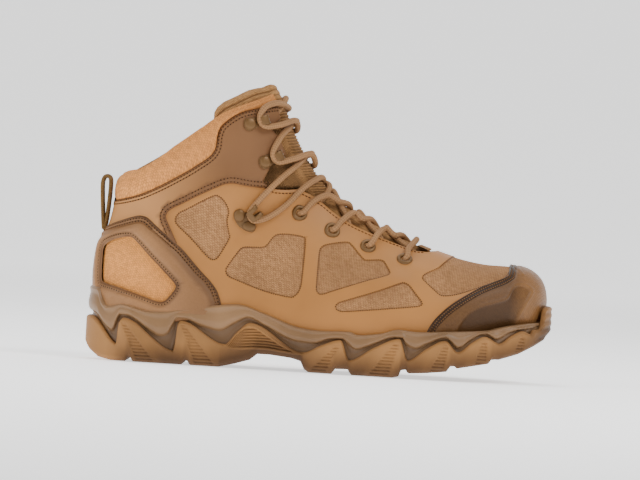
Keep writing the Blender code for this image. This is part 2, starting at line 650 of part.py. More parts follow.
def build_lace_keeper():
    """Short webbing strip sewn across below the throat."""
    return wall("lace_keeper", "webbing", (11.0, 11.2, 11.4), lambda row: [0.0, 0.05, 0.10],
                lambda r, t: GAP + 1.2, lambda r, t: GAP)


# Metal: eyelets and hooks, seated on the upper where the side view shows them

EYELETS = ((138.4, 104.7), (160.4, 94.7), (184.9, 85.5), (211.2, 79.7))
EYELET_RADIUS = 4.1
EYELET_WIRE = 1.1
METAL_SEAT = 0.5
HOOK_COLUMNS = ("base_x", "base_z", "tip_x", "tip_z", "rivets")
HOOKS = ((101.8, 161.8, 114.2, 165.8, 1), (113.2, 137.1, 126.7, 144.6, 1), (101.6, 96.9, 112.9, 107.8, 2))
RIVET_RADIUS = 3.5
HOOK_WIDTH = 5.6
# Hook seen from its edge: along its length as a share, and height above the upper
HOOK_PROFILE = ((-0.28, 0.0), (0.8, 0.0), (1.0, 1.4), (1.0, 4.0), (0.86, 5.6), (0.55, 5.6), (0.55, 4.7),
                (0.8, 4.6), (0.9, 3.7), (0.9, 1.8), (0.76, 1.0), (-0.28, 1.0))


def seat(x, z, side, lift, carrier):
    """Place and axes on a carrying piece: point, direction out, direction to the toe, direction up."""
    row, turn = find_on_upper(x, z)
    out = upper_normal(row, turn, side)
    facets = BVHTree.FromObject(bpy.data.objects[carrier], bpy.context.evaluated_depsgraph_get())
    found = facets.ray_cast(to_world(*upper_point(row, turn, side, 12.0)), -out)[0]
    point = Vector((found.x / MM + LENGTH / 2, found.y / MM, found.z / MM)) + out * lift
    up = Vector((0.0, 0.0, 1.0))
    ahead = up.cross(out).normalized() * -side
    return point, out, ahead, out.cross(ahead).normalized() * -side


def build_eyelets():
    """Rings on both sides of the throat, seated on the upper."""
    for number, (x, z) in enumerate(EYELETS, 1):
        for side, word in ((OUTER, "outer"), (INNER, "inner")):
            point, out, ahead, up = seat(x, z, side, METAL_SEAT + EYELET_WIRE, "upper")
            bpy.ops.mesh.primitive_torus_add(major_segments=12, minor_segments=4,
                                             major_radius=EYELET_RADIUS * MM, minor_radius=EYELET_WIRE * MM)
            ring = bpy.context.object
            ring.name = f"eyelet_{word}_{number}"
            ring.location = to_world(*point)
            ring.rotation_euler = out.to_track_quat("Z", "Y").to_euler()
            claim(ring, "painted_metal")


def claim(made, look):
    """Move an object made by an operator into the part's collection, with its material."""
    for group in list(made.users_collection):
        group.objects.unlink(made)
    parts.objects.link(made)
    made.data.name = made.name
    made.data.materials.append(looks[look])


def build_hooks():
    """Curled plates joined with their rivets: two open hooks and a lock hook on each side."""
    for number, (base_x, base_z, tip_x, tip_z, rivets) in enumerate(HOOKS, 1):
        for side, word in ((OUTER, "outer"), (INNER, "inner")):
            carrier = "ankle_panel" if rivets == 1 else "upper"
            point, out, ahead, up = seat(base_x, base_z, side, METAL_SEAT, carrier)
            lean = math.atan2(tip_z - base_z, tip_x - base_x)
            along = ahead * math.cos(lean) + up * math.sin(lean)
            across = out.cross(along).normalized()
            length = math.hypot(tip_x - base_x, tip_z - base_z)
            mesh = bmesh.new()
            rims = [[mesh.verts.new(to_world(*(point + along * share * length + out * high
                                               + across * edge * HOOK_WIDTH / 2)))
                     for share, high in HOOK_PROFILE] for edge in (-1, 1)]
            for i in range(len(HOOK_PROFILE)):
                mesh.faces.new((rims[0][i - 1], rims[0][i], rims[1][i], rims[1][i - 1]))
            for rim_line in rims:
                mesh.faces.new(rim_line)
            hook = add_object(f"hook_{word}_{number}", mesh, "painted_metal")
            for k in range(rivets):
                shift = across * (k - (rivets - 1) / 2) * 9.6
                spot = to_world(*(point + shift + out * 1.0))
                bpy.ops.mesh.primitive_cylinder_add(vertices=10, radius=RIVET_RADIUS * MM, depth=1.9 * MM,
                                                    location=spot)
                rivet = bpy.context.object
                rivet.rotation_euler = out.to_track_quat("Z", "Y").to_euler()
                rivet.name = f"rivet_{word}_{number}_{k}"
                rivet.hide_render = True
                rivet.display_type = "WIRE"
                for group in list(rivet.users_collection):
                    group.objects.unlink(rivet)
                guides.objects.link(rivet)
                cut(hook, rivet, "UNION")


# Laces: bars and crossings over the tongue, from one edge of the throat to the other

LACE_COLUMNS = ("low_row", "high_row")
CROSSINGS = ((9.4, 7.9), (7.4, 6.3), (5.8, 4.95), (4.4, 4.0), (3.5, 2.8), (2.3, 1.8))
LACE_LIFT = 0.3


def lace_tube(name, route):
    """Round cord along a route, as a closed mesh."""
    curve = bpy.data.curves.new(name, "CURVE")
    curve.dimensions = "3D"
    curve.bevel_depth = LACE_RADIUS * MM
    curve.bevel_resolution = 1
    curve.use_fill_caps = True
    line = curve.splines.new("POLY")
    line.points.add(len(route) - 1)
    for point, spot in zip(line.points, route):
        point.co = (*to_world(*spot), 1.0)
    made = bpy.data.objects.new(name, curve)
    bpy.context.scene.collection.objects.link(made)
    bpy.context.view_layer.update()
    data = bpy.data.meshes.new_from_object(made.evaluated_get(bpy.context.evaluated_depsgraph_get()))
    bpy.data.objects.remove(made, do_unlink=True)
    mesh = bmesh.new()
    mesh.from_mesh(data)
    return mesh


def strand(start_row, end_row, first_side, rise=0.0):
    """Route across the throat, from the edge on one side up to the edge on the other."""
    route = []
    for q in np.linspace(0.0, 1.0, 7):
        row = start_row + (end_row - start_row) * q
        reach = (2 * q - 1) * (min(throat_turn(row + near) for near in (-0.3, 0.0, 0.3)) - 0.025)
        side = first_side if reach < 0 else -first_side
        route.append(upper_point(row, abs(reach), side, LACE_LIFT + rise * math.sin(q * math.pi)))
    return route


def build_laces():
    """Bottom bar, and crossings made of two cords joined where they meet."""
    bar = strand(10.2, 10.2, OUTER)
    add_object("lace_bar", lace_tube("lace_bar", bar), "lace_cord")
    for number, (low, high) in enumerate(CROSSINGS, 1):
        upper_cord = lace_tube("over", strand(low, high, OUTER, 1.4))
        lower_cord = lace_tube("under", strand(low, high, INNER))
        over = add_object(f"lace_crossing_{number}", upper_cord, "lace_cord")
        under = add_object(f"lace_under_{number}", lower_cord)
        cut(over, under, "UNION")


for old in list(bpy.data.objects):
    bpy.data.objects.remove(old, do_unlink=True)
parts = bpy.data.collections.new("military_boot")
guides = bpy.data.collections.new("guides")
for group in (parts, guides):
    bpy.context.scene.collection.children.link(group)
looks = {name: material(name) for name in COLOURS}

build_outsole()
build_midsole()
build_insole()
build_upper()
build_tongue()
build_overlays()
build_pull_loop()
build_lace_keeper()
build_eyelets()
build_hooks()
build_laces()
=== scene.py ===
import math

import bpy
import numpy as np
from mathutils import Matrix, Vector
from mathutils.geometry import delaunay_2d_cdt
from mathutils.kdtree import KDTree

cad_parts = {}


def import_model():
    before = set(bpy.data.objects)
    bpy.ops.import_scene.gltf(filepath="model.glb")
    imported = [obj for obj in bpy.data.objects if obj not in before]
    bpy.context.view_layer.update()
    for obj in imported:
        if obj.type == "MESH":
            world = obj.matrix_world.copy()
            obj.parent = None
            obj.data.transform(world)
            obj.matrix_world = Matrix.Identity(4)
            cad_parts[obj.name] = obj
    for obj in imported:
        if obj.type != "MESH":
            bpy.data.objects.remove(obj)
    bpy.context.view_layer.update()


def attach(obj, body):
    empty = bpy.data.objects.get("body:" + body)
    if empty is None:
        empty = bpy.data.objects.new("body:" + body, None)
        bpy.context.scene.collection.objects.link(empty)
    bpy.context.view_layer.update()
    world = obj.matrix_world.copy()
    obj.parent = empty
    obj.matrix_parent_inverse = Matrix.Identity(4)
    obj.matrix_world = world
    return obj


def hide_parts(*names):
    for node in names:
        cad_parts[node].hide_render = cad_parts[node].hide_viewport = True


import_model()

# Outsole: one moulding of tan rubber, a tray with lugs below and shark-fin lobes up its wall.
# The mould cuts a panel of ribs into each fin and a ribbed lens into the arch.
# Sizes are millimetres, x from the heel's back and z from the floor.
MM = 0.001
BOOT_LENGTH = 310.0
OUTER, INNER = -1.0, 1.0
HEEL_ROUND = 43.0
TOE_MIDDLE = 8.0
FOREFOOT = {OUTER: (215.0, 58.0, 2.15), INNER: (222.0, 56.5, 2.35)}
WAIST_X = {OUTER: (43.0, 80.0, 115.0, 150.0, 185.0, 215.0), INNER: (43.0, 80.0, 120.0, 155.0, 190.0, 222.0)}
WAIST = {OUTER: (43.0, 43.5, 45.5, 50.5, 56.0, 58.0), INNER: (43.0, 42.0, 40.5, 44.5, 52.5, 56.5)}
# Lobes of the wall, each with its valley and its peak
FINS = ((-1.0, 28.6, 2.0, 28.8), (22.5, 11.2, 25.4, 28.7), (61.3, 8.8, 64.3, 29.0),
        (94.0, 15.2, 110.0, 30.3), (146.0, 13.0, 170.5, 22.6), (176.6, 9.7, 209.5, 25.7),
        (215.6, 12.0, 240.0, 26.2), (248.8, 19.2, 266.5, 30.4), (276.3, 26.3, 291.8, 35.2),
        (297.8, 33.4, 303.0, 36.9), (305.0, 42.0, 307.6, 52.0))
# Faces of the lugs and notches between them, along the sole's edge
LUG_X = (0.0, 3.0, 8.0, 17.0, 28.0, 29.5, 31.5, 33.0, 66.5, 68.0, 70.0, 71.5, 91.0, 101.0, 111.0, 116.0,
         124.0, 138.0, 144.5, 147.0, 150.0, 165.5, 167.5, 176.0, 178.5, 206.0, 210.0, 211.5, 214.5,
         216.5, 228.0, 242.0, 244.5, 247.0, 249.0, 270.0, 271.5, 274.5, 277.0, 290.0, 300.0, 306.0,
         310.0)
LUG_Z = (9.0, 5.0, 1.6, 0.0, 0.0, 2.8, 2.8, 0.0, 0.0, 2.8, 2.8, 0.0, 0.0, 2.6, 5.8, 10.0, 10.0, 8.7,
         7.1, 2.0, 0.0, 0.0, 3.4, 3.6, 0.0, 0.0, 1.0, 5.2, 5.8, 3.4, 4.2, 5.9, 9.6, 9.9, 8.4, 12.6,
         15.2, 15.6, 15.6, 19.8, 25.0, 28.7, 34.0)
TRAY_X = (0.0, 20.0, 60.0, 95.0, 112.0, 125.0, 138.0, 147.0, 165.0, 200.0, 213.0, 228.0, 246.0, 260.0,
          272.0, 285.0, 295.0, 305.0, 310.0)
TRAY_Z = (11.5, 6.5, 5.5, 6.5, 10.5, 12.5, 11.0, 8.5, 6.0, 6.2, 8.2, 9.6, 13.2, 15.6, 18.8, 22.5, 26.5,
          32.0, 36.8)
# Rib panels on the fins: upper back, upper front, lower front and lower back corner
RIB_PANELS = (((24.4, 26.4), (28.6, 24.6), (48.6, 0.5), (36.0, 0.5)),
              ((64.2, 26.6), (67.9, 26.0), (88.3, 1.0), (74.4, 1.0)),
              ((167.6, 19.2), (170.6, 19.6), (162.0, 0.8), (150.6, 0.8)),
              ((206.2, 22.9), (209.6, 22.0), (203.6, 1.0), (190.0, 1.0)),
              ((239.4, 24.0), (242.6, 23.4), (239.6, 5.8), (229.6, 4.8)),
              ((264.0, 27.6), (267.6, 27.2), (267.6, 13.0), (259.6, 11.4)),
              ((289.0, 32.4), (292.4, 32.0), (291.6, 23.0), (285.6, 20.8)))
ARCH_X = (91.5, 98.9, 104.8, 109.6, 113.6, 120.9, 131.9, 143.9, 147.0)
ARCH_HIGH = (15.0, 20.0, 26.3, 28.7, 28.0, 24.0, 17.4, 12.4, 11.4)
ARCH_LOW = (15.0, 12.4, 12.2, 12.6, 12.9, 13.0, 11.9, 11.0, 11.4)
# Places along the sole where the channels under the heel and the forefoot begin and end
TREAD_X = (0.0, 16.0, 24.0, 84.0, 98.0, 148.0, 156.0, 280.0, 296.0)
TREAD_DEPTH = 2.6
VALLEY_ROUND = 0.6
RIB_PITCH = 2.15
RIB_DEPTH = 0.75
LENS_PITCH = 1.9
BUMPER_PITCH = 5.0
WALL_THICK = 3.2
EDGE_BEVEL = 2.6
WALL_RINGS = 60
UNDER_LINES = 41
STEEP_FLANK = 6.0
MERGE = 0.000004


def world(points):
    """Places on the boot, in millimetres, in the frame of the solids."""
    return (np.asarray(points, float) - (BOOT_LENGTH / 2, 0.0, 0.0)) * MM


def smooth(xs, ys, x):
    """Smooth curve through a table, level at its turning points."""
    xs, ys, x = np.asarray(xs, float), np.asarray(ys, float), np.asarray(x, float)
    step = np.diff(xs)
    slope = np.diff(ys) / step
    tangent = np.zeros(len(xs))
    tangent[0], tangent[-1] = slope[0], slope[-1]
    product = slope[:-1] * slope[1:]
    total = np.where(product > 0, slope[:-1] + slope[1:], 1.0)
    tangent[1:-1] = np.where(product > 0, 2 * product / total, 0.0)
    i = np.clip(np.searchsorted(xs, x) - 1, 0, len(step) - 1)
    t = np.clip((x - xs[i]) / step[i], 0.0, 1.0)
    held = (1 + 2 * t) * (1 - t) ** 2 * ys[i] + t * t * (3 - 2 * t) * ys[i + 1]
    return held + step[i] * (t * (1 - t) ** 2 * tangent[i] - t * t * (1 - t) * tangent[i + 1])


def ease(low, high, value):
    """Soft step from 0 at one value to 1 at another."""
    t = np.clip((np.asarray(value, float) - low) / (high - low), 0.0, 1.0)
    return t * t * (3 - 2 * t)


def sole_edge(x, side):
    """Sideways place of the sole's edge: round heel, waist and rounded toe."""
    widest_x, widest, power = FOREFOOT[side]
    heel = np.sqrt(np.clip(HEEL_ROUND ** 2 - (HEEL_ROUND - x) ** 2, 0.0, None))
    back = side * np.where(x < HEEL_ROUND, heel, smooth(WAIST_X[side], WAIST[side], x))
    share = np.clip((x - widest_x) / (BOOT_LENGTH - widest_x), 0.0, 1.0)
    toe = TOE_MIDDLE + (side * widest - TOE_MIDDLE) * (1 - share ** power) ** (1 / power)
    return np.where(x > widest_x, toe, back)


def fin_top(x):
    """Height of the outsole's wavy edge."""
    xs, zs = [], []
    for valley_x, valley_z, peak_x, peak_z in FINS:
        steep = peak_x - valley_x < STEEP_FLANK
        xs += [valley_x, valley_x + (peak_x - valley_x) * (0.14 if steep else 0.5), peak_x]
        zs += [valley_z, valley_z + (peak_z - valley_z) * (0.8 if steep else 0.58), peak_z]
    near = np.linspace(-VALLEY_ROUND, VALLEY_ROUND, 9)
    return np.mean([smooth([*xs, BOOT_LENGTH], [*zs, FINS[-1][3]], np.clip(x + n, 0.0, BOOT_LENGTH))
                    for n in near], 0)


def sole_stations(count=400, extra=13):
    """Places along the sole, closer round the heel and toe and on the fins' steep flanks."""
    places = list(BOOT_LENGTH / 2 * (1 - np.cos(np.linspace(0.0, np.pi, count))))
    for k, (valley_x, valley_z, peak_x, peak_z) in enumerate(FINS[1:-1], 1):
        flank = (valley_x, peak_x) if peak_x - valley_x < STEEP_FLANK else (peak_x, FINS[k + 1][0])
        places += list(np.linspace(*flank, extra))
    places = np.sort(places)
    keep = np.concatenate(([True], np.diff(places) > 0.16))
    keep[-1] = True
    return places[keep]


STATIONS = sole_stations()


def sole_line(side, inset, height):
    """One line round the sole, set in from its edge, with a height at each station."""
    edge = np.stack([STATIONS, sole_edge(STATIONS, side)], 1)
    ahead = np.gradient(edge, axis=0)
    inward = np.stack([ahead[:, 1], -ahead[:, 0]], 1) * side
    inward[0], inward[-1] = (1.0, 0.0), (-1.0, 0.0)
    inward /= np.linalg.norm(inward, axis=1)[:, None]
    return np.column_stack([edge + inward * np.broadcast_to(inset, len(STATIONS))[:, None], height])


def depth_in(x, z, corners):
    """How far a point lies inside a convex outline, below zero outside it."""
    ring = np.array(corners)
    ahead = np.roll(ring, -1, 0)
    turn = np.sign(np.sum(ring[:, 0] * ahead[:, 1] - ahead[:, 0] * ring[:, 1]))
    least = np.full(np.shape(x), 1e9)
    for (ax, az), (bx, bz) in zip(ring, ahead):
        away = turn * ((bx - ax) * (z - az) - (bz - az) * (x - ax)) / math.hypot(bx - ax, bz - az)
        least = np.minimum(least, away)
    return least


def wall_relief(x, z):
    """How far the wall stands out: swelling fins, cut ribs, the ribbed lens under the arch."""
    out = np.zeros(np.shape(x))
    groove = (0.5 + 0.5 * np.cos(2 * np.pi * z / RIB_PITCH)) ** 1.5
    for corners in RIB_PANELS:
        (ax, az), (bx, bz), (cx, _), (dx, dz) = corners
        share = np.clip((z - dz) / (az - dz), 0.0, 1.2)
        spine = (dx + cx) / 2 + share * ((ax + bx) / 2 - (dx + cx) / 2)
        out += 0.9 * np.exp(-((x - spine) / 8.0) ** 2)
        in_panel = ease(0.0, 0.7, depth_in(x, z, corners))
        out -= in_panel * RIB_DEPTH * groove + 0.25 * in_panel
    high, low = smooth(ARCH_X, ARCH_HIGH, x), smooth(ARCH_X, ARCH_LOW, x)
    room = (np.minimum(high - z, z - low) * ease(ARCH_X[0], ARCH_X[0] + 1.0, x)
            * ease(-ARCH_X[-1], 1 - ARCH_X[-1], -x))
    in_lens = ease(1.0, 1.8, room)
    lens_rib = 0.5 + 0.5 * np.cos(2 * np.pi * (z - low) / LENS_PITCH)
    out += ease(-0.2, 0.6, room) * (1.0 - 1.6 * in_lens * (0.3 + 0.7 * lens_rib))
    toe_rib = 0.5 + 0.5 * np.cos(2 * np.pi * (z - 0.35 * x) / BUMPER_PITCH)
    return out - 0.5 * ease(300.0, 305.0, x) * toe_rib


def laid_grid(name, lines):
    """Grid primitive whose points are moved onto given lines, in millimetres."""
    lines = np.asarray(lines, float)
    rows, columns = lines.shape[0] - 1, lines.shape[1] - 1
    bpy.ops.object.select_all(action="DESELECT")
    bpy.ops.mesh.primitive_grid_add(x_subdivisions=columns, y_subdivisions=rows, size=2.0)
    piece = bpy.context.object
    piece.name = piece.data.name = name
    flat = np.empty(len(piece.data.vertices) * 3)
    piece.data.vertices.foreach_get("co", flat)
    spot = (flat.reshape(-1, 3) + 1) / 2
    i = np.rint(spot[:, 1] * rows).astype(int)
    j = np.rint(spot[:, 0] * columns).astype(int)
    piece.data.vertices.foreach_set("co", world(lines[i, j]).ravel())
    piece.data.update()
    return piece


def close_up(piece, outward=True):
    """Merge doubled points, turn the faces outwards and shade smoothly."""
    bpy.ops.object.select_all(action="DESELECT")
    piece.select_set(True)
    bpy.context.view_layer.objects.active = piece
    bpy.ops.object.mode_set(mode="EDIT")
    bpy.ops.mesh.select_all(action="SELECT")
    bpy.ops.mesh.remove_doubles(threshold=MERGE)
    if outward:
        bpy.ops.mesh.normals_make_consistent(inside=False)
    bpy.ops.object.mode_set(mode="OBJECT")
    bpy.ops.object.shade_smooth()
    return piece


def tint(piece, values, name="painted_shade_and_tone"):
    """Store one value for each point of a piece, for its material to read: how far painted shade, painted
    light and tone darken its colour.
    """
    layer = piece.data.attributes.new(name, "FLOAT", "POINT")
    layer.data.foreach_set("value", np.asarray(values, np.float32))


def spots_of(piece):
    """Places of a piece's points on the boot, in millimetres."""
    flat = np.empty(len(piece.data.vertices) * 3)
    piece.data.vertices.foreach_get("co", flat)
    return flat.reshape(-1, 3) / MM + (BOOT_LENGTH / 2, 0.0, 0.0)


def build_outsole():
    """Closed section round the tray: floor, wall inside, lobes, wall outside, lugs below."""
    top, low, tray = fin_top(STATIONS), np.interp(STATIONS, LUG_X, LUG_Z), smooth(TRAY_X, TRAY_Z, STATIONS)
    sides = {}
    for side in (OUTER, INNER):
        lines = [sole_line(side, WALL_THICK, tray), sole_line(side, WALL_THICK, top - 0.7),
                 sole_line(side, WALL_THICK - 0.7, top)]
        for share in np.linspace(1.0, 0.0, WALL_RINGS):
            z = low + share * (top - low)
            foot = EDGE_BEVEL * (1 - np.clip((z - low) / 3.4, 0.0, 1.0)) ** 2
            brow = 1.5 * (1 - np.clip((top - z) / 1.7, 0.0, 1.0)) ** 2
            inset = (foot + brow - wall_relief(STATIONS, z) * ease(0.2, 2.4, top - z)
                     * ease(0.0, 1.6, z - low))
            lines.append(sole_line(side, inset, z))
        sides[side] = lines
    under = []
    depth = TREAD_DEPTH * np.interp(STATIONS, TREAD_X, (0, 0, 1, 1, 0, 0, 1, 1, 0))
    for share in np.linspace(0.0, 1.0, UNDER_LINES)[1:-1]:
        line = sides[OUTER][-1] + share * (sides[INNER][-1] - sides[OUTER][-1])
        middle = abs(share - 0.5)
        channel = depth * ease(0.075, 0.05, abs(middle - 0.21)) * ease(0.0, 0.03, abs(middle - 0.14))
        sipe = 0.9 * ease(0.8, 0.3, abs((STATIONS + 26 * middle) % 12.5 - 6.2)) * ease(0.36, 0.3, middle)
        line[:, 2] += np.clip(channel, 0.0, TREAD_DEPTH) + sipe * ease(0.0, 2.0, depth)
        under.append(line)
    loop = [*sides[OUTER], *under, *sides[INNER][::-1], sides[OUTER][0]]
    return close_up(laid_grid("outsole_rubber", loop))


outsole = build_outsole()


def linear(red, green, blue):
    """Screen colour as linear light."""
    return (*[(c / 255 / 12.92 if c < 10.3 else ((c / 255 + 0.055) / 1.055) ** 2.4)
              for c in (red, green, blue)], 1.0)


class Wiring:
    """Node tree that links each new node's named inputs to values or to other nodes' outputs."""

    def __init__(self, tree):
        self.tree = tree

    def add(self, kind, settings=None, **inputs):
        node = self.tree.nodes.new(kind)
        for key, value in (settings or {}).items():
            setattr(node, key, value)
        for key, value in inputs.items():
            self.put(node.inputs[int(key[1:]) if key[0] == "i" and key[1:].isdigit() else key], value)
        return node

    def put(self, socket, value):
        if isinstance(value, bpy.types.NodeSocket):
            self.tree.links.new(value, socket)
        else:
            socket.default_value = value

    def math(self, operation, first, second=0.0, third=0.0):
        return self.add("ShaderNodeMath", {"operation": operation}, i0=first, i1=second, i2=third).outputs[0]

    def mix(self, share, first, second, blend="MIX"):
        node = self.add("ShaderNodeMix", {"data_type": "RGBA", "blend_type": blend}, i0=share, i6=first,
                        i7=second)
        return node.outputs[2]


def new_group(name, inputs, outputs):
    """Empty shader node group with named sockets."""
    group = bpy.data.node_groups.new(name, "ShaderNodeTree")
    for label, value in inputs:
        group.interface.new_socket(label, in_out="INPUT",
                                   socket_type="NodeSocketFloat").default_value = value
    for label in outputs:
        group.interface.new_socket(label, in_out="OUTPUT", socket_type="NodeSocketFloat")
    wiring = Wiring(group)
    return group, wiring, wiring.add("NodeGroupInput").outputs, wiring.add("NodeGroupOutput").inputs


def grain_group():
    """Fine pebbled grain of rubber, film and leather, with broad soft mottling."""
    group, wiring, given, result = new_group("grain", (("Scale", 900.0), ("Broad scale", 25.0)),
                                             ("Height", "Mottle"))
    place = wiring.add("ShaderNodeTexCoord").outputs["Object"]
    pebble = wiring.add("ShaderNodeTexVoronoi", {"feature": "F1"}, Vector=place,
                        Scale=given["Scale"]).outputs["Distance"]
    fine = wiring.add("ShaderNodeTexNoise", None, Vector=place, Scale=given["Scale"],
                      Detail=3.0).outputs["Fac"]
    broad = wiring.add("ShaderNodeTexNoise", None, Vector=place, Scale=given["Broad scale"],
                       Detail=4.0).outputs["Fac"]
    wiring.put(result["Height"], wiring.math("ADD", wiring.math("MULTIPLY", pebble, 0.6),
                                             wiring.math("MULTIPLY", fine, 0.6)))
    wiring.put(result["Mottle"], broad)
    return group


def weave_group():
    """Rows of small loops in brick order, laid over the boot's side and on over its top."""
    group, wiring, given, result = new_group(
        "weave", (("Loop width", 1.9), ("Row height", 1.3), ("Turn", 0.4)), ("Height", "Fleck"))
    place = wiring.add("ShaderNodeTexCoord").outputs["Object"]
    axes = wiring.add("ShaderNodeSeparateXYZ", None, Vector=place).outputs
    sideways = wiring.math("ABSOLUTE", wiring.math("SUBTRACT", axes["Y"], TOE_MIDDLE / 2 * MM))
    down = wiring.math("SUBTRACT", axes["Z"], sideways)
    flat = wiring.add("ShaderNodeCombineXYZ", None, X=axes["X"], Y=down).outputs[0]
    sized = wiring.add("ShaderNodeVectorMath", {"operation": "SCALE"}, i0=flat, Scale=1 / MM).outputs[0]
    waver = wiring.add("ShaderNodeTexNoise", None, Vector=place, Scale=180.0, Detail=1.0).outputs["Color"]
    sized = wiring.add("ShaderNodeVectorMath", {"operation": "MULTIPLY_ADD"}, i0=waver,
                       i1=(0.9, 0.9, 0.0), i2=sized).outputs[0]
    turned = wiring.add("ShaderNodeVectorRotate", {"rotation_type": "Z_AXIS"}, Vector=sized,
                        Angle=given["Turn"]).outputs[0]
    axes = wiring.add("ShaderNodeSeparateXYZ", None, Vector=turned).outputs
    rows = wiring.math("DIVIDE", axes["Y"], given["Row height"])
    row = wiring.math("FLOOR", rows)
    loops = wiring.math("ADD", wiring.math("DIVIDE", axes["X"], given["Loop width"]),
                        wiring.math("MULTIPLY", row, 0.5))
    across = wiring.math("MULTIPLY_ADD",
                         wiring.math("COSINE", wiring.math("MULTIPLY", loops, 2 * math.pi)), 0.5, 0.5)
    along = wiring.math("SINE", wiring.math("MULTIPLY", wiring.math("FRACT", rows), math.pi))
    wiring.put(result["Height"], wiring.math("POWER", wiring.math("MULTIPLY", across, along), 0.6))
    loop = wiring.add("ShaderNodeCombineXYZ", None, X=wiring.math("ROUND", loops), Y=row).outputs[0]
    uneven = wiring.add("ShaderNodeTexWhiteNoise", {"noise_dimensions": "2D"}, Vector=loop).outputs["Value"]
    soft = wiring.add("ShaderNodeTexNoise", None, Vector=place, Scale=420.0, Detail=2.0).outputs["Fac"]
    wiring.put(result["Fleck"], wiring.math("ADD", wiring.math("MULTIPLY", uneven, 0.55),
                                            wiring.math("MULTIPLY", soft, 0.45)))
    return group


GRAIN, WEAVE = grain_group(), weave_group()


def finish(name, colour, dark, rough, grain=900.0, bump=0.08, mottle=0.25, weave=None, weave_bump=0.25,
           weave_shade=0.45, coat=0.0, metal=0.0, shine=0.25):
    """Procedural finish: colour darkened by a piece's painted shade and tone, with painted shade in the lows
    of a weave, grain or weave in its bump, uneven gloss.
    """
    made = bpy.data.materials.new(name)
    made.use_nodes = True
    wiring = Wiring(made.node_tree)
    shader = made.node_tree.nodes["Principled BSDF"]
    # The piece's painted shade and tone, stored on its points, darken the colour towards the dark one.
    painted_shade_and_tone = wiring.add("ShaderNodeAttribute", {"attribute_name": "painted_shade_and_tone"}).outputs["Fac"]
    base = wiring.mix(painted_shade_and_tone, linear(*colour), linear(*dark))
    grains = wiring.add("ShaderNodeGroup", {"node_tree": GRAIN})
    grains.inputs["Scale"].default_value = grain
    spread = wiring.add("ShaderNodeMapRange", None, Value=grains.outputs["Mottle"])
    for key, value in (("From Min", 0.3), ("From Max", 0.7), ("To Min", 1 - mottle),
                       ("To Max", 1 + 0.6 * mottle)):
        spread.inputs[key].default_value = value
    base = wiring.mix(1.0, base, spread.outputs[0], "MULTIPLY")
    height = wiring.math("MULTIPLY", grains.outputs["Height"], bump)
    if weave:
        cloth = wiring.add("ShaderNodeGroup", {"node_tree": WEAVE})
        for key, value in zip(("Loop width", "Row height", "Turn"), weave):
            cloth.inputs[key].default_value = value
        # Painted shade: the colour darkens in the lows between the weave's loops.
        lows = wiring.math("MULTIPLY", wiring.math("SUBTRACT", 1.0, cloth.outputs["Height"]), weave_shade)
        fleck = wiring.math("MULTIPLY", wiring.math("SUBTRACT", cloth.outputs["Fleck"], 0.5),
                            1.4 * weave_shade)
        base = wiring.mix(wiring.math("ADD", lows, fleck), base, linear(*dark))
        height = wiring.math("ADD", height, wiring.math("MULTIPLY", cloth.outputs["Height"], weave_bump))
    bumped = wiring.add("ShaderNodeBump", None, Height=height, Distance=MM).outputs[0]
    gloss = wiring.math("MULTIPLY_ADD", grains.outputs["Mottle"], 0.16, rough - 0.08)
    wiring.put(shader.inputs["Base Color"], base)
    wiring.put(shader.inputs["Roughness"], gloss)
    wiring.put(shader.inputs["Normal"], bumped)
    shader.inputs["Specular IOR Level"].default_value = shine
    shader.inputs["Coat Weight"].default_value = coat
    shader.inputs["Coat Roughness"].default_value = 0.35
    shader.inputs["Metallic"].default_value = metal
    return made


def dress(piece, slot, *finishes):
    """Give a piece its finishes and the boot's one body to ride on; slot is not used."""
    piece.data.materials.clear()
    for look in finishes:
        piece.data.materials.append(look)
    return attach(piece, "root")


def paint_outsole_shade():
    """Painted shade in the grooves of the ribs, in the valleys under the midsole and down towards the tread;
    painted light leaves the heel's back lighter.
    """
    spot = spots_of(outsole)
    relief = wall_relief(spot[:, 0], spot[:, 2])
    # Painted shade: darker where the wall is cut in, in the grooves of the ribs and the lens.
    edge = np.clip(0.35 - 0.75 * relief, 0.0, 0.8) * 0.55
    # Painted shade: darker towards the foot of the lugs, forward of the heel.
    painted_shade_low = (0.6 * ease(16.0, 1.0, spot[:, 2] - np.interp(spot[:, 0], LUG_X, LUG_Z))
                  * ease(14.0, 32.0, spot[:, 0]))
    # Painted light: the back of the heel is left lighter than the rest of the sole.
    tint(outsole, np.clip(edge + painted_shade_low + 0.28 * ease(14.0, 32.0, spot[:, 0]), 0.0, 1.0))


paint_outsole_shade()
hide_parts("outsole")
dress(outsole, "outsole_rubber", finish("tan_rubber", (166, 118, 68), (81, 53, 27), 0.62, grain=700.0,
                                        bump=0.06))

# Midsole: brown foam standing in the outsole's tray, moulded with a raised wave along its side
# and a recessed band that follows the fins, and a clip that climbs the back of the heel.
RIM_X = (0.0, 6.0, 9.0, 12.7, 22.6, 43.0, 66.0, 86.0, 101.0, 119.0, 143.0, 156.0, 176.0, 181.0, 196.0,
         209.0, 220.0, 240.0, 270.0, 279.0, 295.0, 310.0)
RIM_Z = (48.6, 47.5, 39.0, 35.6, 37.2, 33.8, 36.4, 40.3, 41.8, 36.9, 29.0, 27.8, 28.3, 26.6, 28.2, 31.7,
         30.9, 32.1, 34.6, 37.1, 40.1, 41.6)
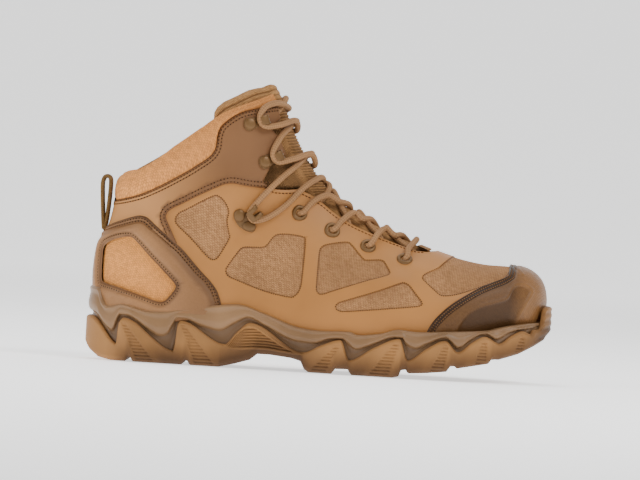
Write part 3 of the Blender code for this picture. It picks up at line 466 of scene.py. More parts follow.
# Lower edge of the raised wave
WAVE_X = (0.0, 4.0, 17.5, 23.0, 28.0, 40.0, 51.5, 55.0, 62.0, 67.0, 78.0, 90.0, 100.0, 108.7, 120.0,
          140.0, 152.0, 166.0, 173.0, 181.0, 190.0, 207.0, 213.7, 220.0, 228.0, 240.0, 249.0, 258.0,
          266.0, 274.0, 286.0, 298.0, 310.0)
WAVE_Z = (31.5, 30.6, 19.6, 30.6, 30.3, 23.6, 18.0, 18.8, 30.2, 30.0, 26.2, 24.0, 29.4, 33.6, 28.8,
          20.2, 19.2, 23.2, 22.1, 16.9, 20.1, 26.6, 22.5, 19.8, 23.3, 28.1, 21.9, 28.0, 32.8, 29.1,
          34.9, 37.2, 40.0)
MIDSOLE_INSET = WALL_THICK + 0.4
WAVE_PROUD = 3.0
# Profile of the wave's face: share of its height, and share of how far it stands out
WAVE_SHARE = (0.0, 0.06, 0.16, 0.34, 0.52, 0.72, 0.80, 0.90, 0.96, 1.0)
WAVE_OUT = (0.0, 0.55, 0.86, 1.0, 0.90, 0.70, 0.74, 0.86, 0.70, 0.30)


def build_midsole():
    """Rings up the foam's side: hidden foot, recessed band, raised wave, top edge, ledge under the upper."""
    near = (-1.6, 0.0, 1.6)
    fins = np.max([fin_top(np.clip(STATIONS + n, 0.0, BOOT_LENGTH)) for n in near], 0)
    ahead = np.max([fin_top(np.clip(STATIONS + n, 0.0, BOOT_LENGTH)) for n in (0.0, 3.0, 6.0, 9.0)], 0)
    top = smooth(RIM_X, RIM_Z, STATIONS)
    low = np.minimum(fins + 0.3, top - 2.6)
    wave = np.clip(smooth(WAVE_X, WAVE_Z, STATIONS), low + 0.5, top - 2.0)
    room = np.clip((top - ahead - 0.5) / 4.0, 0.12, 1.0)
    rings = [(MIDSOLE_INSET, smooth(TRAY_X, TRAY_Z, STATIONS) + 0.3), (MIDSOLE_INSET, low - 2.0)]
    rings += [(MIDSOLE_INSET + 0.5 * math.sin(math.pi * q), low + q * (wave - low))
              for q in np.linspace(0.0, 1.0, 10)]
    for share in np.linspace(0.0, 1.0, 42)[1:]:
        proud = float(smooth(WAVE_SHARE, WAVE_OUT, share))
        rings.append((MIDSOLE_INSET - WAVE_PROUD * proud * room, wave + share * (top - wave)))
    rings += [(MIDSOLE_INSET + 0.3, top + 0.15), (MIDSOLE_INSET + 1.4, top - 0.2),
              (MIDSOLE_INSET + 9.0, top - 0.9)]
    sides = {side: [sole_line(side, inset, z) for inset, z in rings] for side in (OUTER, INNER)}
    loop = [*sides[OUTER], *sides[INNER][::-1], sides[OUTER][0]]
    piece = close_up(laid_grid("midsole_foam", loop))
    spot = spots_of(piece)
    wave_z = np.interp(spot[:, 0], STATIONS, wave)
    # Painted shade: darker in the recessed band under the wave. Painted light: the wave is lighter at the
    # heel than further forward.
    recess = ease(0.6, -0.6, spot[:, 2] - wave_z)
    tint(piece, 0.62 * recess + 0.3 * (1 - recess) * ease(95.0, 150.0, spot[:, 0]))
    return piece


midsole = build_midsole()
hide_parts("midsole")
dress(midsole, "midsole_foam", finish("brown_foam", (137, 104, 71), (74, 52, 32), 0.44, grain=1100.0,
                                      bump=0.04, coat=0.12))

# Last: the foot form that the upper is drawn over, as a fan of sections from the collar to the toe.
# Every sheet of the upper is laid at its own distance from it.
# Columns: top x, z and low x, z, sideways place of both ends, reach out and in, where the widest
# place is, how square it is above and below it, and half the width of the opening underneath
SECTIONS = np.array((
    (114.0, 195.0, 24.0, 137.0, 0.0, 0.0, 37.0, 37.0, 0.50, 2.3, 2.3, 0.0),
    (121.5, 184.0, 18.5, 121.5, 0.0, 0.0, 38.5, 38.5, 0.50, 2.3, 2.3, 0.0),
    (127.5, 169.0, 15.7, 108.0, 0.0, 0.0, 39.0, 39.0, 0.50, 2.3, 2.3, 0.0),
    (137.0, 149.0, 13.0, 93.0, 0.0, 0.0, 38.5, 38.5, 0.50, 2.2, 2.3, 0.0),
    (150.0, 129.5, 7.8, 75.0, 0.0, 0.0, 37.5, 37.5, 0.50, 2.1, 2.4, 0.0),
    (162.0, 118.0, 6.3, 55.0, 1.0, 0.0, 37.0, 37.0, 0.55, 2.0, 2.5, 0.0),
    (174.0, 109.5, 8.5, 38.0, 2.0, 0.0, 38.0, 38.0, 0.58, 2.0, 2.6, 0.0),
    (185.0, 103.5, 16.0, 28.0, 2.5, -0.5, 38.5, 38.0, 0.60, 2.0, 2.6, 15.0),
    (197.0, 98.0, 42.0, 24.0, 3.0, -1.0, 39.0, 38.0, 0.61, 2.0, 2.5, 27.0),
    (210.0, 92.5, 85.0, 24.0, 3.5, -1.5, 40.0, 38.5, 0.62, 2.0, 2.5, 28.0),
    (222.0, 88.0, 130.0, 21.0, 4.0, -2.0, 44.5, 42.0, 0.64, 2.05, 2.5, 31.0),
    (233.0, 84.5, 170.0, 18.0, 4.5, -1.0, 50.5, 49.5, 0.68, 2.1, 2.6, 37.0),
    (248.0, 80.5, 210.0, 18.5, 5.0, 0.5, 51.5, 52.0, 0.68, 2.2, 2.6, 41.0),
    (264.0, 78.0, 243.0, 22.5, 6.0, 3.0, 48.0, 49.5, 0.66, 2.3, 2.5, 37.0),
    (280.0, 77.5, 270.0, 28.0, 7.0, 6.0, 41.0, 42.5, 0.62, 2.4, 2.4, 28.0),
    (293.5, 74.5, 290.0, 34.0, 8.0, 8.0, 30.0, 31.0, 0.56, 2.4, 2.3, 17.0),
    (302.0, 66.5, 300.5, 41.0, 8.0, 8.0, 16.0, 16.5, 0.50, 2.2, 2.2, 7.0),
    (304.6, 53.0, 304.6, 53.0, 8.0, 8.0, 0.0, 0.0, 0.50, 2.0, 2.0, 0.0),
))
TIP_ROW = len(SECTIONS) - 1.0
COLLAR_ARCH, COLLAR_ARCH_SPAN = 5.0, 0.8
THROAT_ROWS = (1.0, 2.0, 2.15, 2.6, 3.08, 3.22, 3.6, 3.85, 3.95, 4.08, 4.22, 4.6, 5.2, 8.0, 9.8, 10.4, 10.85)
THROAT_EDGE = (0.045, 0.05, 0.11, 0.085, 0.085, 0.175, 0.235, 0.213, 0.20, 0.163, 0.104, 0.08, 0.066,
               0.058, 0.055, 0.035, 0.0)
# Creases of the sheets, from the side: start, end, half width and depth
CREASES = ((96.0, 88.0, 112.0, 84.0, 4.0, 0.7), (120.0, 112.0, 134.0, 98.0, 5.0, 0.5),
           (205.0, 74.0, 224.0, 66.0, 5.0, 0.45), (214.0, 84.0, 232.0, 72.0, 4.0, 0.4),
           (62.0, 122.0, 92.0, 140.0, 7.0, 0.5), (22.0, 98.0, 46.0, 104.0, 6.0, 0.4))


def through(a, b, c, d, t):
    """Smooth curve through four values, from the second to the third."""
    return 0.5 * (2 * b + (c - a) * t + (2 * a - 5 * b + 4 * c - d) * t * t
                  + (3 * b - a - 3 * c + d) * t ** 3)


def section(row):
    """Values of the section table at any places between its rows."""
    first, tip = SECTIONS[-2], SECTIONS[-1]
    beyond = first.copy()
    beyond[[0, 1, 2, 3]] = first[2], 2 * tip[1] - first[1], first[0], 2 * tip[3] - first[3]
    beyond[[6, 7, 11]] *= -1
    table = np.vstack([2 * SECTIONS[0] - SECTIONS[1], SECTIONS, beyond])
    i = np.clip(row.astype(int), 0, len(SECTIONS) - 2)
    t = (row - i)[:, None]
    a, b, c, d = (table[i + k] for k in range(4))
    at = through(a, b, c, d, t)
    at[:, 11] = np.where(row > 6.0, np.maximum(at[:, 11], 0.0), 0.0)
    return at.T


def last_point(row, turn, side):
    """Points of the last: turn runs from 0 at the top or front to 1 underneath or behind."""
    top_x, top_z, low_x, low_z, ridge, centre, *form = section(row)
    outer, inner, widest, round_top, round_low, feather = form
    reach = np.maximum(np.where(side == OUTER, outer, inner), 0.0)
    upper = np.clip(turn, 0.0, 0.5) * np.pi
    lower = np.clip(turn - 0.5, 0.0, 0.5) * np.pi
    above = turn <= 0.5
    feather = np.minimum(feather, reach)
    along = np.where(above, widest * (1 - np.clip(np.cos(upper), 0.0, 1.0) ** (2 / round_top)),
                     widest + (1 - widest) * np.sin(lower) ** (2 / round_low))
    out = np.where(above, reach * np.sin(upper) ** (2 / round_top),
                   feather + (reach - feather) * np.clip(np.cos(lower), 0.0, 1.0) ** (2 / round_low))
    near_collar = np.clip((3.0 - row) / 2, 0.0, 1.0)
    arch = COLLAR_ARCH * near_collar * np.sin(np.pi * np.minimum(along / COLLAR_ARCH_SPAN, 1.0)) ** 2
    return np.stack([top_x + (low_x - top_x) * along, ridge + (centre - ridge) * along + side * out,
                     top_z + (low_z - top_z) * along + arch], 1)


def around(row, wrap):
    """Points of the last from one side to the other: wrap is 0 on the ridge, 1 behind or underneath,
    below 0 and above 1 on the inner side."""
    inner = (wrap < 0) | (wrap > 1)
    turn = np.where(wrap > 1, 2 - wrap, np.abs(wrap))
    return last_point(np.clip(row, 0.0, TIP_ROW), turn, np.where(inner, INNER, OUTER))


def crease(x, z):
    """Depth of the soft creases at places seen from the side."""
    depth = np.zeros(np.shape(x))
    for ax, az, bx, bz, width, deep in CREASES:
        length = math.hypot(bx - ax, bz - az)
        ahead = ((x - ax) * (bx - ax) + (z - az) * (bz - az)) / length
        off = ((x - ax) * (bz - az) - (z - az) * (bx - ax)) / length
        fade = ease(-width, width, ahead) * ease(length + width, length - width, ahead)
        trough, ridge = np.exp(-(off / width) ** 2), np.exp(-((off - 1.7 * width) / width) ** 2)
        depth += deep * fade * (trough - 0.6 * ridge)
    return depth


def slopes(row, wrap, step=0.004):
    """How far places on the last move for each row and for each wrap."""
    by_row = (around(row + step, wrap) - around(row - step, wrap)) / (2 * step)
    by_wrap = (around(row, wrap + step) - around(row, wrap - step)) / (2 * step)
    return by_row, by_wrap


def outward(row, wrap):
    """Directions straight out of the last."""
    step = 0.004
    by_row = around(row + step, wrap) - around(row - step, wrap)
    by_wrap = around(row, wrap + step) - around(row, wrap - step)
    out = -np.cross(by_row, by_wrap)
    out[row > TIP_ROW - 0.01] = (1.0, 0.0, 0.0)
    return out / np.maximum(np.linalg.norm(out, axis=1), 1e-9)[:, None]


def skin(row, wrap, out=0.0):
    """Points at a distance outside the last, with its creases."""
    row, wrap = np.broadcast_arrays(np.asarray(row, float), np.asarray(wrap, float))
    shape = row.shape
    row, wrap = row.ravel(), wrap.ravel()
    base = around(row, wrap)
    rise = np.broadcast_to(out, shape).ravel() - crease(base[:, 0], base[:, 2])
    return (base + outward(row, wrap) * rise[:, None]).reshape(*shape, 3)


def throat_wrap(row):
    """Wrap of the throat's edge, 0 where the upper is closed over the foot."""
    share = np.interp(row, THROAT_ROWS, THROAT_EDGE)
    values = section(np.atleast_1d(np.asarray(row, float)))
    edge = np.arccos(np.clip(1 - share / values[8], 0.0, 1.0) ** (values[9] / 2)) / np.pi
    return np.where(share > 0, edge, 0.0)


def on_last(spots):
    """Row and wrap of outer side points that are seen from the side at x, z."""
    spots = np.atleast_2d(np.asarray(spots, float))
    rows, turns = (a.ravel() for a in np.meshgrid(np.linspace(0, 16.9, 170),
                                                  np.linspace(0.01, 0.99, 99), indexing="ij"))
    net = around(rows, turns)
    best = [np.argmin((net[:, 0] - x) ** 2 + (net[:, 2] - z) ** 2) for x, z in spots]
    row, turn = rows[best], turns[best]
    for _ in range(10):
        miss = spots - around(row, turn)[:, [0, 2]]
        by_row, by_turn = (slope[:, [0, 2]] for slope in slopes(row, turn, 0.002))
        area = by_row[:, 0] * by_turn[:, 1] - by_row[:, 1] * by_turn[:, 0]
        area = np.where(np.abs(area) < 5.0, np.inf, area)
        row_step = (miss[:, 0] * by_turn[:, 1] - miss[:, 1] * by_turn[:, 0]) / area
        turn_step = (by_row[:, 0] * miss[:, 1] - by_row[:, 1] * miss[:, 0]) / area
        row = np.clip(row + np.clip(row_step, -0.1, 0.1), 0.0, 16.98)
        turn = np.clip(turn + np.clip(turn_step, -0.02, 0.02), 0.003, 0.997)
    return np.column_stack([row, turn])


def back_row(z):
    """Row of the last's back line at a height."""
    rows = np.linspace(0.0, 6.0, 121)
    return float(np.interp(-z, -section(rows)[3], rows))


def run_along(line):
    """Length along a line, up to each of its points."""
    return np.concatenate(([0.0], np.cumsum(np.linalg.norm(np.diff(line, axis=0), axis=1))))


def drawn(points, spacing=0.9, closed=False):
    """Smooth line through drawn points, in even short steps."""
    points = np.asarray(points, float)
    before, after = (points[-1:], points[:2]) if closed else (points[:1], points[-1:])
    ring = np.vstack([before, points, after])
    pieces = []
    for a, b, c, d in zip(ring, ring[1:], ring[2:], ring[3:]):
        count = max(int(np.linalg.norm(c - b) / spacing * 2), 4)
        t = np.linspace(0.0, 1.0, count, endpoint=False)[:, None]
        pieces.append(through(a, b, c, d, t))
    line = np.vstack([*pieces, points[:1] if closed else points[-1:]])
    length = run_along(line)
    even = np.linspace(0.0, length[-1], max(int(length[-1] / spacing), 2) + 1)
    line = np.column_stack([np.interp(even, length, line[:, k]) for k in range(line.shape[1])])
    return line[:-1] if closed else line


# Insole: a loose moulded footbed of foam under brown cloth, lying on the midsole.
# Its edge cups up a little round the foot.
INSOLE_ROWS = np.linspace(6.75, 15.5, 90)
INSOLE_ACROSS = np.linspace(-1.0, 1.0, 41)


def cap_ends(piece):
    """Merge doubled points and close each open end of a tube with a face."""
    bpy.ops.object.mode_set(mode="EDIT")
    bpy.ops.mesh.select_all(action="SELECT")
    bpy.ops.mesh.remove_doubles(threshold=MERGE)
    bpy.ops.mesh.select_all(action="DESELECT")
    bpy.ops.mesh.select_non_manifold()
    bpy.ops.mesh.edge_face_add()
    bpy.ops.object.mode_set(mode="OBJECT")
    return close_up(piece)


def build_insole():
    """Top and underside of the footbed, lofted between the upper's feather edges."""
    values = section(INSOLE_ROWS)
    low_x, low_z, centre, half = values[2], values[3], values[5], values[11] - 1.8
    lines = []
    for share in INSOLE_ACROSS:
        cup = 2.0 * abs(share) ** 4 + 0.5 * math.cos(3 * share)
        lines.append(np.column_stack([low_x, centre + share * half, low_z + 3.6 + cup]))
    under = [np.column_stack([low_x, centre + share * half, low_z + 0.2]) for share in INSOLE_ACROSS[::-1]]
    return cap_ends(laid_grid("footbed", [*lines, *under, lines[0]]))


insole = build_insole()
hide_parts("insole")
dress(insole, "footbed", finish("footbed_cloth", (80, 66, 56), (38, 30, 24), 0.9, weave=(1.2, 0.9, 0.3),
                                weave_bump=0.2))

# Upper: one sock of coarse mesh drawn over the last, lined inside, open at the collar, the throat
# and underneath. The film that is melted onto it leaves the mesh bare in its windows.
MESH_SHEET = -0.55
UPPER_WALL = 2.0
UPPER_ROW_STEPS, UPPER_TURN_STEPS = 150, 76


def joined(name, pieces):
    """One object from several."""
    bpy.ops.object.select_all(action="DESELECT")
    for piece in pieces:
        piece.select_set(True)
    bpy.context.view_layer.objects.active = pieces[0]
    if len(pieces) > 1:
        bpy.ops.object.join()
    pieces[0].name = pieces[0].data.name = name
    return pieces[0]


def build_upper():
    """Both halves as grids, merged along the ridge and the back seam, then given their thickness."""
    rows = np.linspace(1.0, TIP_ROW, UPPER_ROW_STEPS)
    halves = []
    for side in (1.0, -1.0):
        share = np.linspace(0.0, 1.0, UPPER_TURN_STEPS)[:, None]
        edge = (throat_wrap(rows) + np.interp(rows, (1.0, 3.1, 3.4, 10.4, 10.9),
                                              (0.025, 0.025, 0.008, 0.008, 0.0)))
        turn = edge + share * (1.0 - edge)
        halves.append(laid_grid("upper_half",
                                skin(np.broadcast_to(rows, turn.shape), side * turn, MESH_SHEET)))
    piece = close_up(joined("upper_mesh", halves))
    solid = piece.modifiers.new("wall", "SOLIDIFY")
    solid.thickness = (UPPER_WALL + MESH_SHEET) * MM
    solid.offset = -1.0
    solid.material_offset = 1
    solid.material_offset_rim = 1
    bpy.ops.object.modifier_apply(modifier="wall")
    return piece


upper = build_upper()
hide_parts("upper")
mesh_cloth = finish("coarse_mesh", (178, 129, 84), (108, 74, 46), 0.9, weave=(2.2, 1.25, 0.62),
                    weave_bump=0.45, weave_shade=0.55)
lining_cloth = finish("lining_cloth", (99, 77, 58), (48, 37, 26), 0.95, weave=(1.4, 1.0, 0.2),
                      weave_bump=0.2)
dress(upper, "film_and_mesh", mesh_cloth, lining_cloth)

# Film: one thin smooth sheet melted over the mesh on both sides and across the vamp.
# It is cut with windows that leave the mesh bare, and its edges are pressed down into the mesh.
FILM_REAR = ((108.0, 125.5), (100.0, 125.5), (92.0, 126.0), (84.0, 123.0), (60.0, 110.0), (48.0, 103.0),
             (45.5, 96.0), (49.0, 88.0), (57.0, 76.0), (67.0, 65.0), (77.0, 54.0), (84.0, 42.0),
             (86.0, 34.0))
FILM_FRONT = ((236.0, 31.0), (240.0, 40.0), (247.0, 47.0), (257.0, 54.0), (270.0, 60.0), (281.0, 65.0),
              (288.0, 72.0))
FILM_FRONT_ROW = 14.7
FILM_FOOT_WRAP = 0.95
WINDOWS = (
    ((57.0, 95.2), (58.8, 99.2), (64.2, 102.5), (79.9, 111.6), (84.2, 112.1), (88.2, 108.6), (90.9, 103.0),
     (90.2, 96.7), (91.7, 89.2), (92.4, 85.6), (89.0, 78.5), (85.3, 72.1), (82.1, 71.2), (78.3, 74.0),
     (68.1, 84.0), (59.1, 91.8)),
    ((92.5, 64.0), (94.3, 60.7), (100.9, 58.1), (117.1, 52.7), (134.3, 49.4), (138.5, 50.6), (140.9, 54.6),
     (141.9, 61.1), (142.6, 85.5), (141.2, 88.4), (136.2, 89.3), (129.8, 89.6), (124.5, 88.9), (121.8, 86.7),
     (118.6, 82.0), (115.0, 80.0), (106.0, 79.6), (101.8, 78.7), (98.3, 74.2), (93.9, 67.3)),
    ((153.2, 57.0), (153.9, 53.8), (156.4, 52.5), (164.9, 55.7), (184.8, 63.0), (194.8, 66.2), (199.4, 68.0),
     (199.7, 69.5), (197.5, 73.0), (195.3, 75.9), (192.2, 76.4), (185.1, 75.8), (181.7, 76.8), (173.8, 85.1),
     (171.2, 86.7), (166.1, 86.2), (159.1, 84.7), (155.1, 82.9), (153.6, 78.2)),
    ((166.6, 43.9), (167.7, 46.2), (171.4, 47.9), (190.4, 54.7), (207.3, 61.5), (210.3, 62.2), (213.3, 60.8),
     (217.0, 56.6), (221.4, 51.6), (222.4, 49.9), (220.8, 48.6), (212.3, 47.2), (189.0, 44.1), (175.8, 42.5),
     (169.2, 42.1)),
)
# Window of the vamp, from its back corner down round to the toe cap, and its two rows on the ridge
VAMP_WINDOW = ((233.1, 73.8), (225.2, 69.6), (222.9, 67.2), (224.5, 64.9), (233.6, 57.5), (236.7, 56.3),
               (241.3, 56.8), (248.3, 58.6), (260.2, 63.2), (268.4, 66.6), (276.6, 70.0))
VAMP_WINDOW_ROWS = (11.7, 14.2)
ROW_SPAN, WRAP_SPAN = 13.0, 125.0
RIM_RINGS = (0.45, 1.0, 1.8)
PIN_HOLE, PIN_PITCH, PIN_AWAY = 0.4, 1.5, 0.7
STAY_STITCH, STAY_PITCH, STAY_AWAY = (1.9, 0.36), 2.5, 2.4


def mirrored(line):
    """The same line on the inner side, reached over the ridge."""
    return np.column_stack([line[:, 0], -line[:, 1]])[::-1]


def mirrored_behind(line):
    """The same line on the inner side, reached round the heel."""
    return np.column_stack([line[:, 0], 2 - line[:, 1]])[::-1]


def set_in(line, away, closed=True):
    """Line moved sideways over the last by millimetres, to the inside of a closed line."""
    row, wrap = line.T
    by_row, by_wrap = slopes(row, wrap)
    ahead = (np.roll(line, -1, 0) - np.roll(line, 1, 0)) if closed else np.gradient(line, axis=0)
    run = by_row * ahead[:, :1] + by_wrap * ahead[:, 1:]
    turn = np.sum(row * np.roll(wrap, -1) - np.roll(row, -1) * wrap) if closed else -1.0
    side = np.cross(outward(row, wrap), run)
    side *= -np.sign(turn) * away / np.maximum(np.linalg.norm(side, axis=1), 1e-9)[:, None]
    a, b, c = (by_row * by_row).sum(1), (by_row * by_wrap).sum(1), (by_wrap * by_wrap).sum(1)
    p, q = (by_row * side).sum(1), (by_wrap * side).sum(1)
    area = np.maximum(a * c - b * b, 1e-3)
    return line + np.column_stack([(c * p - b * q) / area, (a * q - b * p) / area])


def inside(points, ring):
    """Which points lie within a closed line."""
    x, y = points.T
    within = np.zeros(len(points), bool)
    for (ax, ay), (bx, by) in zip(ring, np.roll(ring, -1, 0)):
        if ay != by:
            within ^= ((ay > y) != (by > y)) & (x < (bx - ax) * (y - ay) / (by - ay) + ax)
    return within


def tree_of(places):
    """Search tree over places."""
    tree = KDTree(len(places))
    for i, place in enumerate(places):
        tree.insert(place, i)
    tree.balance()
    return tree


def distance_to(lines, height=0.0):
    """Function that measures how far places are from some lines on the last or at a height above it."""
    tree = tree_of(np.vstack([around(*line.T) + outward(*line.T) * height for line in lines]))
    return lambda spots: np.array([tree.find(spot)[2] for spot in spots])


def new_piece(name, spots, faces):
    """Smooth piece from places in millimetres and faces."""
    mesh = bpy.data.meshes.new(name)
    mesh.from_pydata(world(spots), [], faces)
    piece = bpy.data.objects.new(name, mesh)
    bpy.context.scene.collection.objects.link(piece)
    mesh.shade_smooth()
    return piece


def panel(name, edge, holes, height, spacing=2.0, guides=()):
    """Sheet cut to an outline with holes, laid over the last with a height for each point.
    The height is worked out from a point's row, wrap, distance to the edge and to the holes.
    Guides are lines where the height changes sharply, so the net has points along them."""
    plane = np.array([ROW_SPAN, WRAP_SPAN])
    loops = [edge, *holes]
    points, ties = [], []
    for loop in loops:
        start = sum(map(len, points))
        ties += [(start + i, start + (i + 1) % len(loop)) for i in range(len(loop))]
        points.append(loop)
    for k, loop in enumerate(loops):
        points += [set_in(loop, away if k == 0 else -away) for away in RIM_RINGS]
    low, high = edge.min(0) * plane, edge.max(0) * plane
    x, y = np.meshgrid(np.arange(low[0], high[0], spacing), np.arange(low[1], high[1], spacing * 0.87))
    x[1::2] += spacing / 2
    net = np.column_stack([x.ravel(), y.ravel()]) / plane
    net = net[inside(net, edge)]
    near = distance_to(loops)
    net = net[near(around(*net.T)) > RIM_RINGS[-1] + 0.5 * spacing]
    if guides:
        net = net[distance_to(guides)(around(*net.T)) > 0.45 * spacing]
    loose = np.vstack([*points[len(loops):], *guides, net])
    keep = inside(loose, edge)
    for hole in holes:
        keep &= ~inside(loose, hole)
    keep &= near(around(*loose.T)) > 0.7 * RIM_RINGS[0]
    flat = np.vstack([*points[:len(loops)], loose[keep]]) * plane
    spots, _, faces, *_ = delaunay_2d_cdt([Vector(p) for p in flat], ties, [], 0, 1e-4)
    flat = np.array([tuple(s) for s in spots]) / plane
    faces = np.array(faces)
    middle = flat[faces].mean(1)
    keep = inside(middle, edge)
    for hole in holes:
        keep &= ~inside(middle, hole)
    faces = faces[keep][:, ::-1]
    used, faces = np.unique(faces, return_inverse=True)
    row, wrap = flat[used].T
    base = around(row, wrap)
    to_edge = distance_to([edge])(base)
    to_hole = distance_to(holes)(base) if holes else np.full(len(base), 1e3)
    spots = skin(row, wrap, height(row, wrap, to_edge, to_hole))
    return new_piece(name, spots, faces.reshape(-1, 3).tolist())


def side_line(points, spacing=0.9, closed=False):
    """Line drawn from the side, as rows and wraps of the outer side."""
    return on_last(drawn(points, spacing, closed))


def film_outline():
    """Throat, rear and lower edges, and the front edge under the toe cap, over both sides."""
    throat_rows = np.linspace(3.62, THROAT_ROWS[-1], 120)
    throat = np.column_stack([throat_rows, throat_wrap(throat_rows)])
    rear = side_line(FILM_REAR)
    front = side_line(FILM_FRONT)
    foot_rows = np.linspace(rear[-1, 0], front[0, 0], 150)[1:-1]
    foot = np.column_stack([foot_rows, np.full(len(foot_rows), FILM_FOOT_WRAP)])
    over = np.linspace(0.0, 1.0, 12)[1:-1, None]
    ridge = front[-1] + over * (np.array([FILM_FRONT_ROW, 0.0]) - front[-1])
    outer = np.vstack([rear, foot, front, ridge])
    return np.vstack([throat[::-1], outer, mirrored(outer), mirrored(throat[::-1])[:-1]])


def vamp_window():
    """Closed outline of the window that crosses the ridge."""
    line = side_line(VAMP_WINDOW)
    share = np.linspace(0.0, 1.0, 22)[1:, None]
    back = line[0] + share * (np.array([VAMP_WINDOW_ROWS[0], 0.0]) - line[0])
    front = line[-1] + share * (np.array([VAMP_WINDOW_ROWS[1], 0.0]) - line[-1])
    outer = np.vstack([back[::-1], line, front])
    return np.vstack([outer, mirrored(outer)[1:-1]])


windows = [side_line(window, closed=True) for window in WINDOWS]
windows += [mirrored(window) for window in windows] + [vamp_window()]


def film_height(row, wrap, to_edge, to_hole):
    """Level sheet, its edges pressed down."""
    return -0.5 + 0.5 * ease(0.0, 1.1, to_hole) * ease(0.0, 0.9, to_edge)


film = panel("film_sheet", film_outline(), windows, film_height)
# Painted shade: the film darkens within about a millimetre of each window's edge.
tint(film, 1.0 * ease(1.0, 0.3, distance_to(windows)(spots_of(film))))
dress(film, "film_and_mesh", finish("smooth_film", (167, 113, 59), (104, 66, 34), 0.5, grain=1500.0,
                                    bump=0.03, mottle=0.1))


def stitch_shape(long, thick):
    """One stitch: a short thread with its ends drawn down into the sheet."""
    along = np.array((-0.5, -0.44, -0.22, 0.22, 0.44, 0.5)) * long
    size = np.array((0.0, 0.7, 1.0, 1.0, 0.7, 0.0)) * thick
    sink = np.array((-0.7, -0.3, 0.0, 0.0, -0.3, -0.7)) * thick
    angle = np.linspace(0.0, 2 * np.pi, 6, endpoint=False)
    rings = [np.column_stack([np.full(6, a), s * np.cos(angle), s * np.sin(angle) + d])
             for a, s, d in zip(along, size, sink)]
    faces = [(i * 6 + j, (i + 1) * 6 + j, (i + 1) * 6 + (j + 1) % 6, i * 6 + (j + 1) % 6)
             for i in range(5) for j in range(6)]
    return np.vstack(rings), np.array(faces)[:, ::-1]


def hole_shape(size):
    """One needle hole: a small dish."""
    angle = np.linspace(0.0, 2 * np.pi, 8, endpoint=False)
    rim = np.column_stack([size * np.cos(angle), size * np.sin(angle), np.zeros(8)])
    return np.vstack([rim, [(0.0, 0.0, 0.08)]]), np.array([(j, (j + 1) % 8, 8, 8) for j in range(8)])


def sewn(name, rows, shape, pitch, shift=0.0):
    """Copies of a stitch or hole along rows: each row is a line on the last and its height."""
    spots, faces = [], []
    pattern, sides = shape
    for line, height in rows:
        place = skin(*line.T, height)
        run = run_along(place)
        at = np.arange(pitch * (0.5 + shift), run[-1], pitch)
        row, wrap = np.interp(at, run, line[:, 0]), np.interp(at, run, line[:, 1])
        ahead = np.column_stack([np.interp(at + 0.3, run, place[:, k])
                                 - np.interp(at - 0.3, run, place[:, k]) for k in range(3)])
        up = outward(row, wrap)
        ahead /= np.linalg.norm(ahead, axis=1)[:, None]
        across = np.cross(up, ahead)
        middle = skin(row, wrap, np.interp(at, run, np.broadcast_to(height, len(run))))
        for m, a, b, c in zip(middle, ahead, across, up):
            faces.append(sides + len(spots) * len(pattern))
            spots.append(m + pattern @ np.stack([a, b, c]))
    faces = [tuple(dict.fromkeys(f)) for f in np.vstack(faces).tolist()]
    return new_piece(name, np.vstack(spots), faces)


dark_thread = finish("dark_thread", (82, 49, 22), (43, 25, 9), 0.85, bump=0.05)
# Needle holes: small dishes in a dark colour, a painted shade standing for the shade inside each hole.
hole_shadow = finish("needle_hole_shade", (52, 36, 24), (30, 20, 12), 0.95, bump=0.0)
pin_lines = [(np.vstack([set_in(window, -PIN_AWAY), set_in(window, -PIN_AWAY - 0.05)[:1]]), 0.04)
             for window in windows]
dress(sewn("window_pinholes", pin_lines, hole_shape(PIN_HOLE), PIN_PITCH), "film_and_mesh", hole_shadow)
eyestay_rows = np.linspace(3.72, 10.3, 190)
eyestay = np.column_stack([eyestay_rows, throat_wrap(eyestay_rows)])
stay_line = set_in(eyestay, -STAY_AWAY, False)
stay_rows = [(stay_line, 0.12), (mirrored(stay_line), 0.12)]
dress(sewn("eyestay_stitching", stay_rows, stitch_shape(*STAY_STITCH), STAY_PITCH), "film_and_mesh",
      dark_thread)

# Toe cap: moulded dark brown rubber, bonded and sewn over the front of the film.
# Its side carries a hooked ridge with a sunk panel under it and a groove before the bumper.
CAP_EDGE = ((226.6, 30.0), (228.5, 34.3), (231.6, 39.3), (236.8, 45.2), (242.6, 50.5), (250.5, 56.2),
            (258.3, 61.0), (266.3, 64.7), (274.2, 68.1), (279.0, 71.0))
CAP_RIDGE_X = 280.0
CAP_FOOT_WRAP = 0.93
CAP_THICK = 1.3
CAP_BAND = 4.6
CAP_STITCH, CAP_HOLE, CAP_PITCH = (1.2, 0.36), 0.5, 1.75
CAP_STITCH_AWAY = (1.5, 3.6)
SUNK_PANEL = ((245.0, 27.0), (246.2, 33.6), (248.0, 38.2), (252.2, 44.1), (258.1, 48.5), (265.0, 51.5),
              (274.0, 54.4), (278.5, 56.9), (280.3, 61.1), (282.6, 64.3), (286.6, 65.7), (291.2, 64.8),
              (294.5, 61.9), (293.6, 58.8), (290.4, 52.5), (286.8, 45.1), (285.1, 39.9), (283.5, 27.0))
CAP_STRIPES = (((279.0, 78.0), (285.2, 71.6)), ((282.4, 78.0), (288.0, 71.8)))


def line_away(x, z, line):
    """Distance of places seen from the side to a line of points."""
    least = np.full(np.shape(x), 1e9)
    for (ax, az), (bx, bz) in zip(line, line[1:]):
        share = np.clip(((x - ax) * (bx - ax) + (z - az) * (bz - az))
                        / ((bx - ax) ** 2 + (bz - az) ** 2), 0.0, 1.0)
        least = np.minimum(least, np.hypot(x - ax - share * (bx - ax), z - az - share * (bz - az)))
    return least


